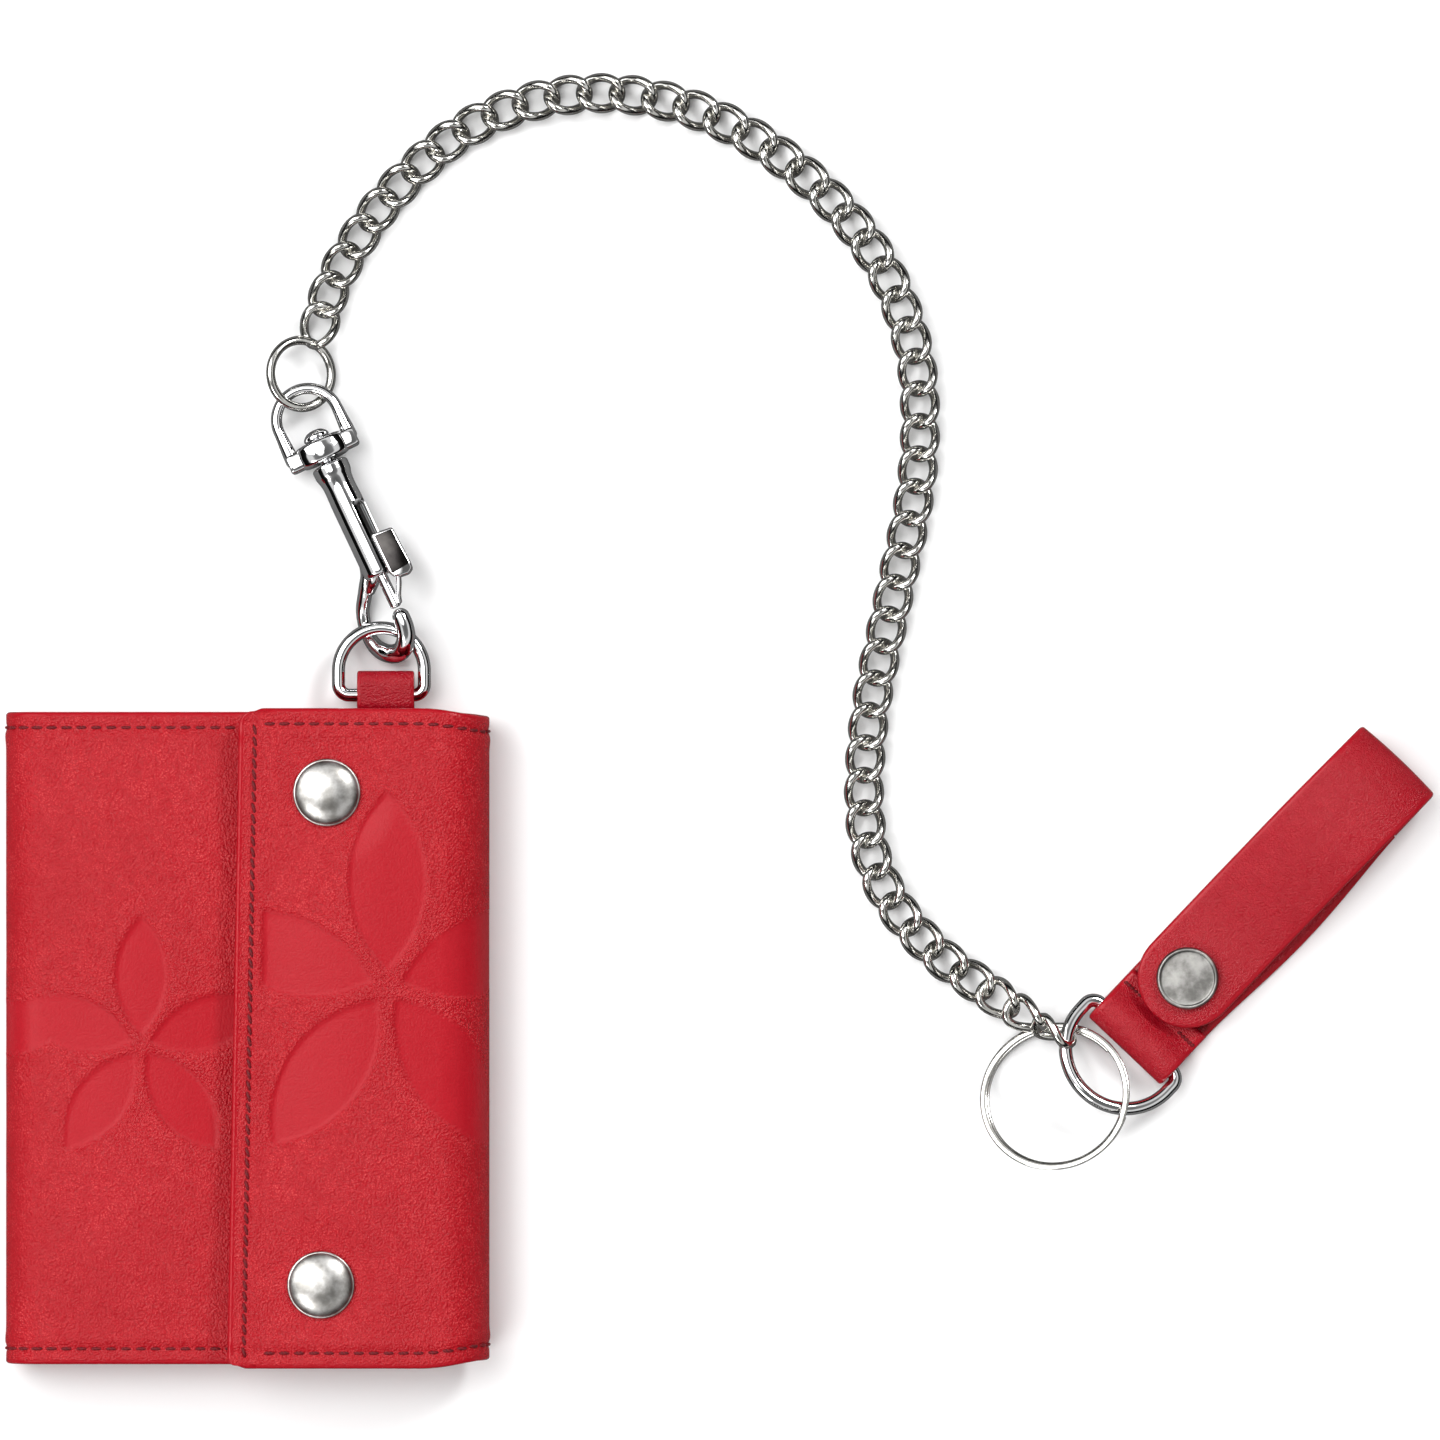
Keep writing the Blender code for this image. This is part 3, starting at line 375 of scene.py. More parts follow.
def leatherFinish(name, look):
    # pebble grain from smooth cells, flatter where it is pressed, with a painted edge; painted shade in the
    # grain's crevices and a painted highlight on its tops
    finish, shader, wire = newFinish(name, {
        "Specular IOR Level": look["shine"], "Specular Tint": (1.0, 0.55, 0.55, 1.0)})
    coords = wire.node("ShaderNodeTexCoord", out="Object")
    pressed = wire.node("ShaderNodeAttribute", {"attribute_name": "pressed"}, out="Fac")
    rim = wire.node("ShaderNodeAttribute", {"attribute_name": "rim"}, out="Fac")
    drift = wire.node("ShaderNodeTexNoise", None, {"Vector": coords, "Scale": 900.0, "Detail": 1.0}, "Color")
    warp = wire.node("ShaderNodeVectorMath", {"operation": "MULTIPLY_ADD"},
                     {0: drift, 1: (look["warp"],) * 3, 2: coords})
    cells = wire.node("ShaderNodeTexVoronoi", {"feature": "SMOOTH_F1"},
                      {"Vector": warp, "Scale": look["grain"], "Smoothness": 0.35}, "Distance")
    pebble = 1 - cells * 1.25
    fine = wire.noise(coords, look["grain"] * 2.3, 3.0, 0.65)
    broad = wire.noise(coords, 55.0, 3.0)
    patch = wire.noise(coords, 420.0, 4.0, 0.6)
    flatness = 1 - pressed * 0.80
    height = (pebble * 0.8 + fine * 0.35 + patch * look["patch"]) * flatness + pressed * fine * 0.10
    tone = (broad * 0.55 + patch * 0.45).ramp(0.25, 0.75).mixed(look["deep"], look["light"])
    # painted shade: the low crevices between the pebbles are coloured darker
    tone = ((1 - pebble.ramp(0.05, 0.40)) * 0.55).mixed(tone, look["creviceShade"])
    # painted highlight: the grain's tops, outside the pressed petals, are coloured towards a lighter pink
    # glint
    paintedGlintMask = (pebble.ramp(0.45, 0.80) * patch.ramp(0.34, 0.62) * (0.35 + broad.ramp(0.30, 0.70) * 0.65)
            * (1 - pressed * 0.93))
    tone = (paintedGlintMask * look["paintedGlintShare"]).mixed(tone, look["paintedGlint"])
    tone = (pressed * 0.55).mixed(tone, look["pressed"])
    tone = (rim * 0.85).mixed(tone, look["paint"])
    rough = look["rough"] + patch * 0.12 + pressed * look["dull"] - rim * 0.06
    normal = wire.node("ShaderNodeBump", None,
                       {"Strength": look["relief"], "Distance": 0.00022, "Height": height * (1 - rim * 0.8)})
    feed(shader, {"Base Color": tone, "Roughness": rough, "Normal": normal})
    return finish


walletLeather = leatherFinish("walletLeather", {
    "grain": 2500.0, "warp": 0.00006, "relief": 0.9, "rough": 0.19, "shine": 0.42,
    "patch": 0.25, "dull": 0.16,
    "deep": (0.36, 0.0026, 0.009), "light": (0.42, 0.0040, 0.012), "creviceShade": (0.30, 0.0015, 0.006),
    "paintedGlintShare": 0.60, "paintedGlint": (0.72, 0.075, 0.075),
    "pressed": (0.38, 0.0022, 0.011), "paint": (0.36, 0.003, 0.010)})
strapLeather = leatherFinish("strapLeather", {
    "grain": 3000.0, "warp": 0.00005, "relief": 0.75, "rough": 0.13, "shine": 0.46,
    "patch": 0.20, "dull": 0.2,
    "deep": (0.31, 0.0022, 0.010), "light": (0.36, 0.0032, 0.013), "creviceShade": (0.27, 0.0015, 0.007),
    "paintedGlintShare": 0.38, "paintedGlint": (0.60, 0.040, 0.045),
    "pressed": (0.30, 0.002, 0.009), "paint": (0.36, 0.006, 0.014)})
lining = leatherFinish("liningLeather", {
    "grain": 1700.0, "warp": 0.00012, "relief": 0.30, "rough": 0.48, "shine": 0.25,
    "patch": 0.30, "dull": 0.1,
    "deep": (0.24, 0.0030, 0.009), "light": (0.31, 0.0050, 0.013), "creviceShade": (0.19, 0.002, 0.006),
    "paintedGlintShare": 0.15, "paintedGlint": (0.42, 0.02, 0.03),
    "pressed": (0.24, 0.003, 0.008), "paint": (0.20, 0.003, 0.008)})


def metalFinish(name, look):
    # plated metal: faint clouding, fine scratches and a little tarnish in the roughness; where the 'dark'
    # attribute is set, painted shade makes the colour near-black
    finish, shader, wire = newFinish(name, {"Metallic": 1.0})
    coords = wire.node("ShaderNodeTexCoord", out="Object")
    cloud = wire.noise(coords, look["cloud"], 4.0, 0.6)
    scratch = wire.noise(wire.node("ShaderNodeMapping", None, {
        "Vector": coords, "Rotation": (0.3, 0.2, 0.7), "Scale": (1.0, 9.0, 1.0)}), look["scratch"], 3.0)
    dark = wire.node("ShaderNodeAttribute", {"attribute_name": "dark"}, out="Fac")
    tone = (dark * 0.9).mixed(cloud.ramp(0.32, 0.72).mixed(look["low"], look["high"]), (0.03, 0.03, 0.03))
    rough = look["rough"] + cloud * look["vary"] + scratch * look["vary"] * 0.6
    normal = wire.node("ShaderNodeBump", None, {
        "Strength": look["relief"], "Distance": 0.00004, "Height": scratch * 0.5 + cloud * 0.5})
    feed(shader, {"Base Color": tone, "Roughness": rough, "Normal": normal})
    return finish


chrome = metalFinish("brightChrome", {
    "cloud": 300.0, "scratch": 900.0, "low": (0.80, 0.80, 0.81),
    "high": (0.90, 0.90, 0.90), "rough": 0.03, "vary": 0.04, "relief": 0.03})
darkChrome = metalFinish("darkChrome", {
    "cloud": 300.0, "scratch": 900.0, "low": (0.022, 0.020, 0.020),
    "high": (0.045, 0.042, 0.040), "rough": 0.10, "vary": 0.06, "relief": 0.05})
nickel = metalFinish("wornNickel", {
    "cloud": 420.0, "scratch": 1500.0, "low": (0.56, 0.55, 0.52),
    "high": (0.78, 0.77, 0.74), "rough": 0.08, "vary": 0.10, "relief": 0.10})
snapMetal = metalFinish("satinSnap", {
    "cloud": 330.0, "scratch": 1400.0, "low": (0.36, 0.345, 0.32),
    "high": (0.72, 0.71, 0.69), "rough": 0.19, "vary": 0.18, "relief": 0.35})
# painted reflection: the belt cap's disc is coloured much darker than the other snap metal, for the dim look
# of its flat top
discMetal = metalFinish("discPaintedShade", {
    "cloud": 260.0, "scratch": 1400.0, "low": (0.17, 0.165, 0.155),
    "high": (0.46, 0.45, 0.43), "rough": 0.24, "vary": 0.16, "relief": 0.35})
springSteel = metalFinish("springSteel", {
    "cloud": 400.0, "scratch": 1200.0, "low": (0.42, 0.42, 0.43),
    "high": (0.60, 0.60, 0.61), "rough": 0.20, "vary": 0.12, "relief": 0.10})


def threadFinish():
    # twisted thread: fine slanted plies, with painted shade making the grooves between them darker
    finish, shader, wire = newFinish("redThread", {"Specular IOR Level": 0.35})
    coords = wire.node("ShaderNodeTexCoord", out="Object")
    ply = wire.node("ShaderNodeTexWave", {"wave_type": "BANDS", "bands_direction": "DIAGONAL"},
                    {"Vector": coords, "Scale": 900.0, "Distortion": 1.5, "Detail": 1.0}, "Fac")
    # painted shade: the colour follows the plies' height, darker in the grooves
    tone = ply.mixed((0.085, 0.0012, 0.004), (0.20, 0.003, 0.008))
    rough = 0.55 + ply * 0.15
    normal = wire.node("ShaderNodeBump", None, {"Strength": 0.5, "Distance": 0.0001, "Height": ply})
    feed(shader, {"Base Color": tone, "Roughness": rough, "Normal": normal})
    return finish


thread = threadFinish()

# ---- chain

print("stage: chain")
chain = {
    "route": [  # the middle of the links, from the jump ring to the belt loop's ring
        (12.9, 131.0, 2.7), (15.6, 139.4, 2.4), (20.1, 147.6, 2.4), (25.8, 155.4, 2.4),
        (32.7, 162.4, 2.4), (39.3, 167.6, 2.4), (46.7, 171.4, 2.4), (54.1, 173.7, 2.4),
        (61.5, 174.8, 2.4), (68.9, 174.8, 2.4), (76.3, 173.7, 2.4), (83.7, 171.5, 2.4),
        (91.1, 168.0, 2.4), (98.5, 163.3, 2.4), (105.4, 157.6, 2.4), (111.2, 151.6, 2.4),
        (115.6, 145.8, 2.4), (119.2, 139.4, 2.4), (121.9, 132.4, 2.4), (123.7, 125.2, 2.4),
        (124.4, 117.8, 2.4), (124.4, 110.4, 2.4), (123.8, 103.0, 2.4), (122.6, 95.8, 2.4),
        (121.0, 88.4, 2.4), (119.4, 81.0, 2.4), (117.8, 73.6, 2.4), (116.2, 66.2, 2.4),
        (115.0, 58.8, 2.4), (114.3, 51.4, 2.4), (114.1, 44.0, 2.4), (114.8, 36.6, 2.4),
        (117.0, 29.4, 2.4), (121.5, 22.0, 2.4), (128.2, 15.0, 2.5), (135.6, 9.6, 2.6),
        (142.6, 4.9, 4.3), (149.2, 0.9, 5.3)],
    "pitch": 6.05, "halfLength": 3.78, "halfWidth": 2.92, "twist": 1.22, "wire": 0.84,
    "firstRoll": -12.0, "lastRolls": [18.0, 42.0, 76.0], "wobble": 4,
    "cordWidth": 7.6, "cordLength": 300.0, "steps": 44, "sides": 10,
}


def makeChain(c):
    # each link is an ellipse whose wire also rises and falls twice on its way round, which lets
    # the next one through: across = cos, beside = sin, height = sin of twice the turn
    route = smoothRoute(c["route"], 0.5)
    total = np.linalg.norm(np.diff(route, axis=0), axis=1).sum()
    count = int(round((total - 1.0) / c["pitch"])) + 1
    places = np.linspace(0.9, total, count)
    middle, way = along(route, places)
    side = unit(np.cross(up, way))
    lift = np.cross(way, side)
    # the links lie flat within a few degrees, and the last three turn up on edge
    roll = np.zeros(count)
    roll[-3:] = np.radians(c["lastRolls"])
    roll[0] = np.radians(c["firstRoll"])
    roll = roll + np.radians(rng.uniform(-c["wobble"], c["wobble"], count))
    beside = side * np.cos(roll)[:, None] + lift * np.sin(roll)[:, None]
    rise = -side * np.sin(roll)[:, None] + lift * np.cos(roll)[:, None]
    turn = np.linspace(0, tau, c["steps"], endpoint=False)
    ring = np.stack([c["halfLength"] * np.cos(turn),
                     c["halfWidth"] * np.sin(turn), c["twist"] * np.sin(2 * turn)], axis=1)
    step = unit(np.roll(ring, -1, axis=0) - np.roll(ring, 1, axis=0))
    out = unit(ring * np.array([1.0, 1.0, 0.0]))
    out = unit(out - (out * step).sum(axis=1, keepdims=True) * step)
    third = np.cross(step, out)
    spin = np.linspace(0, tau, c["sides"], endpoint=False)
    body = ring[:, None] + c["wire"] * (np.cos(spin)[None, :, None] * out[:, None]
                                        + np.sin(spin)[None, :, None] * third[:, None])
    points = (middle[:, None, None] + body[None, ..., :1] * way[:, None, None]
              + body[None, ..., 1:2] * beside[:, None, None] + body[None, ..., 2:] * rise[:, None, None])
    one = gridFaces(c["steps"], c["sides"], closeRows=True)
    faces = (one[None] + (np.arange(count) * c["steps"] * c["sides"])[:, None, None]).reshape(-1, 4)
    piece = putMesh("curb_chain", points.reshape(-1, 3), faces, nickel, sharp=0)
    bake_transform(piece)
    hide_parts("chain")
    print("chain links", count, "length", round(float(total), 1))
    return piece, route


chainPiece, chainRoute = makeChain(chain)

# ---- leather skins of the folded wallet

print("stage: wallet leather")
wallet = {
    "halfHeight": 60.3, "flapHalf": 61.0, "leather": 1.8, "flapTop": 17.8, "panelTop": 13.0,
    "rightCentre": 35.85, "leftCentre": 38.25, "edgeTop": -1.4, "edgeBottom": -3.6, "panelEdge": 20.5,
    "hem": 2.9, "seam": 3.0, "pressDepth": 0.36, "dip": 1.4,
}


def rightPlace(p, y, h):
    # p runs across the flap from its free edge, round the right fold, and back under the wallet;
    # h is the height above the outer face
    r, c = wallet["flapTop"] / 2, wallet["rightCentre"]
    turn = np.clip((p - c) / r, 0, math.pi)
    past = np.clip(p - c - math.pi * r, 0, None)
    x = np.where(p < c, p, c + (r + h) * np.sin(turn) - past)
    return np.stack(np.broadcast_arrays(x, y, r + (r + h) * np.cos(turn)), axis=-1)


def leftPlace(p, y, h):
    # the same for the inner panel and the left fold; p is 0 at the middle and grows to the left
    r, c = wallet["panelTop"] / 2, wallet["leftCentre"]
    turn = np.clip((p - c) / r, 0, math.pi)
    past = np.clip(p - c - math.pi * r, 0, None)
    x = -np.where(p < c, p, c + (r + h) * np.sin(turn) - past)
    return np.stack(np.broadcast_arrays(x, y, r + (r + h) * np.cos(turn)), axis=-1)


def petals(p, y, flowers):
    # pressed petals, each the overlap of two circles: 1 inside, 0 outside, with a soft step
    inside = np.zeros(np.broadcast(p, y).shape)
    for f in flowers:
        wide = (f["length"] ** 2 - f["width"] ** 2) / (2 * f["width"])
        for k in range(f["count"]):
            turn = math.radians(f["turn"] + 360 / f["count"] * k)
            a, b = p - f["centre"][0], y - f["centre"][1]
            far = a * math.cos(turn) + b * math.sin(turn) - f["reach"]
            off = -a * math.sin(turn) + b * math.cos(turn)
            gap = np.hypot(far, np.abs(off) + wide) - (wide + f["width"])
            inside = np.maximum(inside, 1 - ease((gap + 0.45) / 0.9))
    return inside


flapFlowers = [{"centre": (26.0, 9.5), "count": 5, "turn": 90, "reach": 19.5, "length": 16.6, "width": 7.2}]
panelFlowers = [{"centre": (19.5, -1.3), "count": 5, "turn": 90, "reach": 12.8, "length": 11.0, "width": 4.9},
                {"centre": (57.0, 2.0), "count": 5, "turn": 36, "reach": 13.0, "length": 11.0, "width": 4.9}]


snapPlaces = {"upper": (14.8, 45.4), "lower": (13.7, -45.5)}
swells = {"flap": {"from": 3.0, "high": 1.45, "dimples": list(snapPlaces.values())},
          "panel": {"from": -6.0, "high": 1.60, "dimples": []}}


def flapEdge(y):
    # where the flap's free edge is at each height, with its rounded corners
    w = wallet
    x = w["edgeBottom"] + (w["edgeTop"] - w["edgeBottom"]) * (y + w["flapHalf"]) / (2 * w["flapHalf"])
    for sign, r in ((1, 2.6), (-1, 1.6)):
        over = np.clip(sign * y - (w["flapHalf"] - r), 0, r * 0.9999)
        x = x + r - np.sqrt(r * r - over * over)
    return x


def panelEdge(y):
    r = 4.0
    over = np.clip(np.abs(y) - (wallet["halfHeight"] - r), 0, r * 0.9999)
    return -wallet["panelEdge"] + r - np.sqrt(r * r - over * over)


def rightHalf(p):
    # half the leather's height: the flap stands a little past the back and dips at the fold
    w = wallet
    dip = w["flapHalf"] - w["dip"] * ease((p - 32.0) / 14.0)
    return dip + (w["halfHeight"] - (w["flapHalf"] - w["dip"])) * ease((p - 50.0) / 14.0)


def leftHalf(p):
    return wallet["halfHeight"] + 0 * p


def endFaces(ring, n, m):
    # closes the end of a sheet whose ring of points is n along the top, m round an edge, n back along
    # the bottom and m round the other edge
    top, low = ring[:n], ring[n + m : 2 * n + m][::-1]
    faces = [[top[k], top[k + 1], low[k + 1], low[k]] for k in range(n - 1)]
    return faces + [[top[-1]] + ring[n : n + m] + [low[-1]], [low[0]] + ring[2 * n + m :] + [top[0]]]


def skinShell(place, edgeAt, halfAt, stations, flowers, foldAt, swell):
    # one sheet of leather: its outer face, round its edges, and its inner face, as a closed grid.
    # rows go along y; the outer face carries the pressed petals, the rim, the seam groove and the hem.
    w = wallet
    close = 1 - np.array([0.0, 0.0012, 0.003, 0.0055, 0.0085, 0.012])
    flat = np.concatenate([-close, np.linspace(-0.984, 0.984, skinRows), close[::-1]])
    thick = w["leather"]
    y01 = flat[None, :]
    p0 = stations[:, None]
    half = halfAt(np.maximum(p0, stations[0] + 4))
    inset = 0.55
    y = y01 * (half - inset)
    near = 1 - ease((p0 - stations[0]) / 16.0)
    edge = edgeAt(y01 * half)
    p = p0 + (edge - stations[0]) * near
    fromEdge = p0 - stations[0]
    fromTop = half - np.abs(y01 * (half - inset))
    press = petals(p, y, flowers)
    press = press * ease((fromTop - 5.0) / 1.5) * ease((fromEdge - 4.6) / 1.2)
    # the pressing is shallow where the leather turns over, and the padded face swells a little
    h = -w["pressDepth"] * press * (1 - 0.93 * ease((p0 - foldAt + 10.0) / 12.0))
    across = (p - swell["from"]) / (foldAt + 6.0 - swell["from"])
    face = np.clip(across, 0, 1) * (p < foldAt + 6.0)
    puff = swell["high"] * np.clip(4 * face * (1 - face), 0, 1) ** 1.5 * (1 - (y / half) ** 4) ** 1.5
    for x, z in swell["dimples"]:
        puff = puff * ease((np.hypot(p - x, y - z) - 6.0) / 8.0)
    h = h + puff
    h = h + 0.16 * bump(fromTop, w["hem"] + 1.7, 1.1) - 0.26 * bump(fromTop, w["hem"], 0.55)
    h = h + 0.16 * (1 - ease((fromEdge - 0.9) / 0.35)) - 0.22 * bump(fromEdge, 1.45, 0.30)
    h = h - 0.24 * bump(fromEdge, w["seam"], 0.55) + 0.10 * bump(fromEdge, w["seam"] + 1.6, 1.0)
    rim = np.maximum(1 - ease((fromTop - 0.55) / 0.35), 1 - ease((fromEdge - 0.75) / 0.35))
    # the free edge and the far end are rounded off
    endIn = np.minimum(fromEdge, (stations[-1] - p0)) + 0 * p
    fall = 0.5 - np.sqrt(np.clip(0.25 - (0.5 - np.clip(endIn, 0, 0.5)) ** 2, 0, None))
    outer = h - fall
    inner = -thick + fall
    turn = np.linspace(0, math.pi, 7)[1:-1]
    m = len(turn)
    sideY = inset * np.sin(turn)[None, :] * ease(endIn[:, :1] / 2.0)
    sideH = (outer[:, -1:] + inner[:, -1:]) / 2 + (outer[:, -1:] - inner[:, -1:]) / 2 * np.cos(turn)[None, :]
    sideH0 = (outer[:, :1] + inner[:, :1]) / 2 - (outer[:, :1] - inner[:, :1]) / 2 * np.cos(turn)[None, :]
    allP = np.concatenate([p, np.repeat(p[:, -1:], m, 1), p[:, ::-1], np.repeat(p[:, :1], m, 1)], axis=1)
    allY = np.concatenate([y, y[:, -1:] + sideY, y[:, ::-1], y[:, :1] - sideY], axis=1)
    allH = np.concatenate([outer, sideH, np.broadcast_to(inner, y.shape)[:, ::-1], sideH0], axis=1)
    ones = np.ones((len(stations), m))
    pressAll = np.concatenate([press, 0 * ones, 0 * press, 0 * ones], axis=1)
    rimAll = np.concatenate([rim + 0 * press, ones, 0 * press, ones], axis=1)
    points = place(allP, allY, allH)
    count, size = points.shape[:2]
    faces = gridFaces(count, size).tolist()
    for row in (0, count - 1):
        faces += endFaces([row * size + k for k in range(size)], y.shape[1], m)
    return points.reshape(-1, 3), faces, {"pressed": pressAll, "rim": rimAll}


# stations across each skin: close together at both ends, fine over the face and fold, wide on the back
foldEnd = wallet["rightCentre"] + math.pi * wallet["flapTop"] / 2
backLength = wallet["rightCentre"] + 38.1
flapStart = -2.5
endSteps = np.array([0.0, 0.08, 0.2, 0.36, 0.55])
rightStations = np.concatenate([flapStart + endSteps, np.arange(flapStart + 0.75, foldEnd, 0.5),
                                np.arange(foldEnd + 0.5, foldEnd + backLength - 1.0, 2.5),
                                (foldEnd + backLength - endSteps)[::-1]])
leftFoldEnd = wallet["leftCentre"] + math.pi * wallet["panelTop"] / 2
leftStations = np.concatenate([-wallet["panelEdge"] + endSteps, np.arange(-19.6, -3.0, 1.5),
                               np.arange(-2.6, leftFoldEnd - 0.8, 0.5), (leftFoldEnd + 0.3 - endSteps)[::-1]])
skinRows = 188


def makeSkins():
    points, faces, facts = skinShell(rightPlace, flapEdge, rightHalf, rightStations, flapFlowers,
                                     wallet["rightCentre"], swells["flap"])
    right = putMesh("flap_and_back_leather", points, faces, walletLeather, facts, sharp=0)
    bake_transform(right)
    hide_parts("flap_leather", "right_spine", "back_leather")
    points, faces, facts = skinShell(leftPlace, panelEdge, leftHalf, leftStations, panelFlowers,
                                     wallet["leftCentre"], swells["panel"])
    left = putMesh("panel_and_fold_leather", points, faces, walletLeather, facts, sharp=0)
    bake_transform(left)
    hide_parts("inner_leather", "left_spine")


makeSkins()

# ---- sewn thread

print("stage: thread")
stitch = {"pitch": 2.75, "length": 2.2, "radius": 0.29, "rows": 7, "sides": 8}


def stitchRows(centres, ways, ups, lengths, lean=0.0):
    # many short threads at once: each is a bow that dives into the leather at both ends
    t = np.linspace(-1, 1, stitch["rows"])
    spin = np.linspace(0, tau, stitch["sides"], endpoint=False)
    side = unit(np.cross(ups, ways))
    ways = unit(ways + side * lean)
    side = unit(np.cross(ups, ways))
    body = np.sqrt(np.clip(1 - np.abs(t) ** 3, 0.03, 1))
    lift = 0.14 * (1 - t**2) - 0.16 * t**4
    line = (centres[:, None] + ways[:, None] * (t[None, :, None] * lengths[:, None, None] / 2)
            + ups[:, None] * lift[None, :, None])
    ring = (np.cos(spin)[None, None, :, None] * side[:, None, None]
            + 0.8 * np.sin(spin)[None, None, :, None] * ups[:, None, None])
    points = line[:, :, None] + stitch["radius"] * body[None, :, None, None] * ring
    count, rows, sides = points.shape[:3]
    one = gridFaces(rows, sides).tolist()
    caps = [list(range(sides))[::-1], list(range((rows - 1) * sides, rows * sides))]
    faces = []
    for k in range(count):
        faces += [[i + k * rows * sides for i in f] for f in one + caps]
    return points.reshape(-1, 3), faces


def sewnLine(place, p, y, upright=False, lean=0.0):
    # stitches on a skin, at these places; the line runs across the wallet, or upright along an edge
    h, d = -0.12, 0.05
    at = place(p, y, h + 0 * p)
    way = unit((place(p, y + d, h + 0 * p) if upright else place(p + d, y, h + 0 * p)) - at)
    lift = unit(place(p, y, h + 1.0 + 0 * p) - at)
    return stitchRows(at, way, lift, np.full(len(p), stitch["length"]), lean)


def makeThreads():
    w = wallet
    parts = []
    step = stitch["pitch"]
    free = np.arange(-(w["flapHalf"] - w["hem"]) + 0.2, w["flapHalf"] - w["hem"] - 1.0, 2.05)
    edge = flapEdge(free) + w["seam"]
    parts.append(sewnLine(rightPlace, edge, free, True, 0.30))
    for sign in (1, -1):
        p = np.arange(4.2, foldEnd + backLength - 2.0, step)
        parts.append(sewnLine(rightPlace, p, sign * (rightHalf(p) - w["hem"])))
    points, faces = gather(parts)
    right = putMesh("flap_thread", points, faces, thread, sharp=0)
    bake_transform(right)
    parts = []
    for sign in (1, -1):
        p = np.arange(-w["panelEdge"] + 4.4, leftFoldEnd - 0.8, step)
        parts.append(sewnLine(leftPlace, p, sign * (leftHalf(p) - w["hem"])))
    free = np.arange(-(w["halfHeight"] - w["hem"]), w["halfHeight"] - w["hem"], 2.4)
    parts.append(sewnLine(leftPlace, panelEdge(free) + w["seam"], free, True, 0.30))
    points, faces = gather(parts)
    left = putMesh("panel_thread", points, faces, thread, sharp=0)
    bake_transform(left)


makeThreads()

# ---- linings and pockets

print("stage: linings")
sheets = {
    "half": 60.3, "left": -38.1, "right": 35.7, "notch": (18.7, 44.5), "bevel": 0.22, "gap": 0.15,
    # each layer's thickness, and how far its top edge is below the wallet's
    "back": {"back_lining": (0.7, 1.0), "bill_divider": (0.7, 4.0),
             "card_pocket_wide": (1.0, 14.0), "card_pocket_narrow": (1.0, 28.0)},
    "panel": {"inner_lining": (0.9, 1.0), "inner_pocket_wide": (1.0, 14.0),
              "inner_pocket_narrow": (1.0, 28.0)},
    "backLow": 2.1, "panelHigh": 11.05, "liningEdge": 19.5, "pocketEdge": 4.0,
    "flapIn": 0.8, "flapLow": 15.0, "flapHigh": 15.7,
}


def makeSheet(name, body, corners, low, high, replaced, sewn=()):
    # a flat layer with softened edges, and sewn lines across its face
    points, faces = slab([(x, y, low) for x, y in corners], [(x, y, high) for x, y in corners])
    piece = putMesh(name, points, faces, lining, sharp=0)
    softenEdges(piece, sheets["bevel"], 3)
    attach(piece, body)
    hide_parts(replaced)
    parts = []
    for (x0, y0), (x1, y1), z, side in sewn:
        start, stop = np.array([x0, y0, z]), np.array([x1, y1, z])
        count = int(np.linalg.norm(stop - start) / stitch["pitch"])
        at = start + (stop - start) * (np.arange(count)[:, None] + 0.5) / count
        way, lift = (np.repeat(v[None], count, 0) for v in (unit(stop - start), side * up))
        parts.append(stitchRows(at, way, lift, np.full(count, stitch["length"])))
    if parts:
        points, faces = gather(parts)
        line = putMesh(name + "_thread", points, faces, thread, sharp=0)
        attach(line, body)


def makeLinings():
    s = sheets
    half, left, right = s["half"], s["left"], s["right"]
    low = s["backLow"]
    for name, (thick, drop) in s["back"].items():
        high, side = half - drop, right - 1.0
        corners = [(left + 1, -half + 1), (side, -half + 1)]
        if high > s["notch"][1]:
            corners += [(side, s["notch"][1]), (s["notch"][0], s["notch"][1]), (s["notch"][0], high)]
            reach = s["notch"][0]
        else:
            corners += [(side, high)]
            reach = side
        corners += [(left + 1, high)]
        z = low + thick
        makeSheet(name + "_leather", "root", corners, low, z, name,
                  [((left + 3, high - 1.6), (reach - 2, high - 1.6), z - 0.05, 1)] if thick == 1.0 else [])
        low += thick + s["gap"]
    high, edge = s["panelHigh"], s["liningEdge"]
    for name, (thick, drop) in s["panel"].items():
        top = half - drop
        corners = [(left + 1, -half + 1), (edge, -half + 1), (edge, top), (left + 1, top)]
        makeSheet(name + "_leather", "panel", corners, high - thick, high, name,
                  [((left + 3, top - 1.6), (edge - 2, top - 1.6), high - thick + 0.05, -1)])
        high -= thick + s["gap"]
        edge = s["pocketEdge"]
    w, flapIn = wallet, s["flapIn"]
    h = w["flapHalf"] - flapIn
    corners = [(w["edgeBottom"] + flapIn, -h), (right - 1, -h), (right - 1, h), (w["edgeTop"] + 3.5, h),
               (w["edgeTop"] + flapIn, w["flapHalf"] - 4.0)]
    makeSheet("flap_lining_leather", "flap", corners, s["flapLow"], s["flapHigh"], "flap_lining",
              [((w["edgeBottom"] + 3.4, -h + 2.4), (w["edgeTop"] + 3.4, h - 3.0), s["flapLow"] + 0.05, -1)])


makeLinings()

# ---- press snaps on the wallet

print("stage: snaps")
snaps = {"radius": 6.25, "rise": 2.4, "rimHigh": 0.75, "roll": 0.35}


def keep(name, finish):
    # a CAD node that stays, with a better finish
    piece = nodes[name]
    piece.data.materials.clear()
    piece.data.materials.append(finish)


